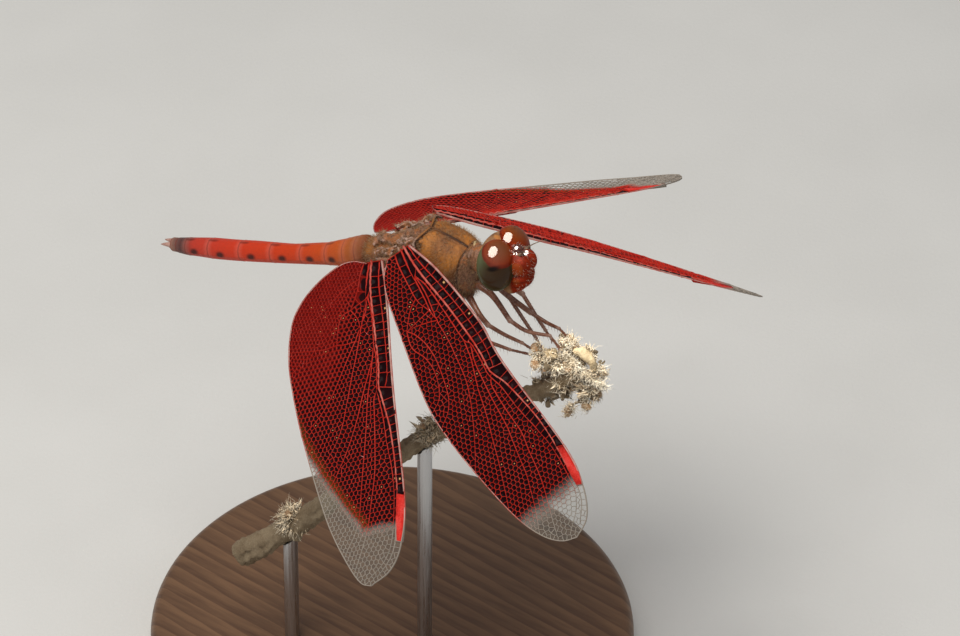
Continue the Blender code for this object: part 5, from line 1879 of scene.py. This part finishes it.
# %% From the flat wing to the body
def on_wing(wing, side, hinge, angles, bend, flat, height):
    """Places of flat wing points in the body's frame, for one wing's attitude."""
    part = flat[:, 0] / wing["length"]
    sweep, droop, pitch, twist = np.radians(angles)
    turn = pitch + twist * (part - 0.5)
    along = np.array([math.sin(sweep) * math.cos(droop), -math.cos(sweep) * math.cos(droop),
                      -math.sin(droop)])
    level = np.array([math.cos(sweep), math.sin(sweep), 0.0])
    normal = np.cross(level, along)
    if normal[2] < 0:
        normal = -normal
    c, s = np.cos(turn)[:, None], np.sin(turn)[:, None]
    sag, cup = bend
    cupped = cup * (np.maximum(-flat[:, 1] - 2.0, 0.0) / 6.0) ** 2
    rise = (height + cupped - sag * part * part)[:, None]
    points = (np.array(hinge) * (1, -1, 1) + flat[:, :1] * along
              + flat[:, 1:] * (level * c - normal * s) + rise * (normal * c + level * s))
    if side > 0:
        points[:, 1] *= -1
    return points


# %% Wing materials
WING_CHART = 30.0  # millimetres of wing to one unit of its chart
BORDER_CORNER = 21.3  # where the clear rear border meets the clear tip
BORDER_REACH = 13.5  # how far the clear rear border runs inwards from there
BORDER_SLOPE, BORDER_BULGE = 0.554, 4.4  # its line along the rear edge, and how far that bows


def make_zone_group():
    """Where a wing is clear, where its border turns amber and where its root is blood red."""
    group, given, out = new_group(
        "Wing zones",
        [("Clear start", "NodeSocketFloat", 22.0), ("Clear end", "NodeSocketFloat", 23.0),
         ("Rear clear", "NodeSocketFloat", 0.0)],
        [("Clear", "NodeSocketFloat"), ("Amber", "NodeSocketFloat"), ("Root", "NodeSocketFloat")])
    chart = add_node(group, "UVMap", uv_map="wing_place").outputs[0]
    parts = split(group, chart)
    x = times(group, parts[0], WING_CHART)
    y = times(group, minus(group, parts[1], 0.5), WING_CHART)
    noise = add_node(group, "TexNoise", {"Vector": chart, "Scale": 22.0, "Detail": 2.0})
    wobble = times(group, minus(group, noise.outputs[0], 0.5), 1.2)
    xw = plus(group, x, wobble)
    tip = soft_step(group, xw, given["Clear start"], given["Clear end"])
    # the rear border runs from the tip's corner inwards along the rear edge
    inwards = minus(group, BORDER_CORNER, x)
    slope = times(group, inwards, BORDER_SLOPE)
    depth = minus(group, times(group, plus(group, y, 2.5), -1.0), slope)
    depth = plus(group, minus(group, depth, given["Rear clear"]), times(group, wobble, 0.4))
    span = maths(group, "DIVIDE", inwards, BORDER_REACH, clamp=True)
    bulge = times(group, minus(group, span, times(group, span, span)), BORDER_BULGE)
    depth = minus(group, depth, bulge)
    rear = soft_step(group, depth, -0.1, 0.9)
    clear = most(group, tip, rear)
    amber = times(group, soft_step(group, depth, -1.0, 0.1), minus(group, 1.0, rear))
    root = minus(group, minus(group, 1.25, maths(group, "DIVIDE", x, 12.0)),
                 times(group, most(group, plus(group, y, 5.0), 0.0), 0.28))
    near = minus(group, minus(group, 1.3, maths(group, "DIVIDE", x, 4.0)),
                 times(group, most(group, plus(group, y, 2.2), 0.0), 2.0))
    root = maths(group, "MAXIMUM", root, near, clamp=True)
    for label, value in (("Clear", clear), ("Amber", amber), ("Root", root)):
        group.links.new(value, out[label])
    return group


ZONES = make_zone_group()


def zones_for(tree, wing):
    start, end, rear = wing["clear"]
    return use_group(tree, ZONES, **{"Clear start": start, "Clear end": end, "Rear clear": rear})


def make_vein(name, wing, red, pale, share, rooted):
    """Vein colour: red in the stained wing, pale grey in the clear tip."""
    material, tree, shader, place, mottle = new_surface(name, BODY_PLACE, 1.5)
    zones = zones_for(tree, wing)
    lit = blend(tree, times(tree, mottle["Patches"], share), red, pale)
    if rooted:
        lit = tint(tree, zones["Root"], 0.55, lit, (0.22, 0.008, 0.005))
    colour = blend(tree, zones["Clear"], lit, (0.36, 0.31, 0.26))
    connect(tree, shader, Base_Color=colour, Roughness=0.35, Specular_IOR_Level=0.10,
            Normal=grain(tree, place, 14.0, 0.00001))
    return material


def make_film(name, wing, rooted):
    """The membrane: near black between red veins, blood red near the hind wing's root, clear at
    the tip with a see-through grey film."""
    material, tree, shader = new_material(name)
    zones = zones_for(tree, wing)
    centred, luck, _ = split(tree, add_node(tree, "UVMap", uv_map="cell_place").outputs[0])
    rim = times(tree, zones["Root"], 1.15 if rooted else 0.25)
    stain = soft_step(tree, minus(tree, centred, rim), -0.22, 0.0)
    red = blend(tree, luck, (0.12, 0.004, 0.003), (0.18, 0.007, 0.005))
    dark = blend(tree, luck, (0.009, 0.0022, 0.0032), (0.020, 0.004, 0.005))
    stained = blend(tree, stain, red, dark)
    stained = tint(tree, zones["Amber"], 0.6, stained, (0.20, 0.07, 0.012))
    # here and there a cell catches the light like brass
    glint = times(tree, soft_step(tree, luck, 0.972, 0.977), soft_step(tree, centred, 0.7, 0.9))
    stained = blend(tree, glint, stained, (0.90, 0.50, 0.20))
    colour = blend(tree, zones["Clear"], stained, (0.50, 0.48, 0.42))
    alpha = minus(tree, 1.0, times(tree, zones["Clear"], 0.92))
    wrinkle = add_node(tree, "TexNoise", {"Vector": use_group(tree, BODY_PLACE)["Place"],
                       "Scale": 6.0, "Detail": 3.0}).outputs[0]
    connect(tree, shader, Base_Color=colour, Roughness=0.25, Specular_IOR_Level=0.04, Alpha=alpha,
            Normal=bumped(tree, wrinkle, 0.00003, 0.5))
    return material


def make_stigma(name):
    material, tree, shader, place, mottle = new_surface(name, BODY_PLACE, 1.6)
    colour = blend(tree, mottle["Speckle"], (0.66, 0.018, 0.012), (0.85, 0.05, 0.035))
    connect(tree, shader, Base_Color=colour, Roughness=0.5, Specular_IOR_Level=0.2,
            Subsurface_Weight=0.1, Subsurface_Scale=0.0002, Normal=grain(tree, place, 9.0, 0.00002))
    return material


def wing_materials(kind, wing, rooted):
    return [make_vein(f"{kind}_cross_vein", wing, (0.52, 0.018, 0.009), (0.60, 0.05, 0.03), 0.5,
                      rooted),
            make_film(f"{kind}_membrane", wing, rooted), make_stigma(f"{kind}_stigma"),
            make_vein(f"{kind}_main_vein", wing, (0.56, 0.035, 0.02), (0.74, 0.24, 0.19), 0.7,
                      rooted),
            make_vein(f"{kind}_edge_vein", wing, (0.44, 0.15, 0.12), (0.70, 0.48, 0.42), 0.9,
                      False)]


# %% Build the wings
def build_wings():
    for kind, wing in (("forewing", FOREWING), ("hindwing", HINDWING)):
        lines = wing_lines(wing)
        lift = lift_field(lines)
        flat, height, faces, kinds, chart = cell_trays(wing, lines)
        height = height + lift(flat)
        tube_flat, tube_height, tube_faces, tube_kinds = vein_tubes(lines, lift)
        shift = len(flat)
        faces = faces + [[i + shift for i in face] for face in tube_faces]
        flat, height = np.vstack([flat, tube_flat]), np.concatenate([height, tube_height])
        chart = chart + [(0.0, 0.5)] * sum(len(face) for face in tube_faces)
        corners = np.concatenate([np.array(face) for face in faces])
        place = flat[corners] / WING_CHART + (0.0, 0.5)
        materials = wing_materials(kind, wing, kind == "hindwing")
        for name, (measures, side, hinge, angles, bend) in WINGS.items():
            if measures is not wing:
                continue
            points = on_wing(wing, side, hinge, angles, bend, flat, height)
            shown = faces if side < 0 else [face[::-1] for face in faces]
            place_here, chart_here = place, np.array(chart)
            if side > 0:
                ends = np.cumsum([len(face) for face in faces])
                order = np.concatenate([np.arange(e - len(f), e)[::-1]
                                        for f, e in zip(faces, ends)])
                place_here, chart_here = place[order], chart_here[order]
            obj = add_piece(f"{name}_net", points, shown, materials, "wing",
                            kinds=kinds + tube_kinds,
                            uvs={"wing_place": place_here, "cell_place": chart_here})
            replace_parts(obj, name)
        print(kind, "cells and tubes:", len(faces), "faces")


build_wings()
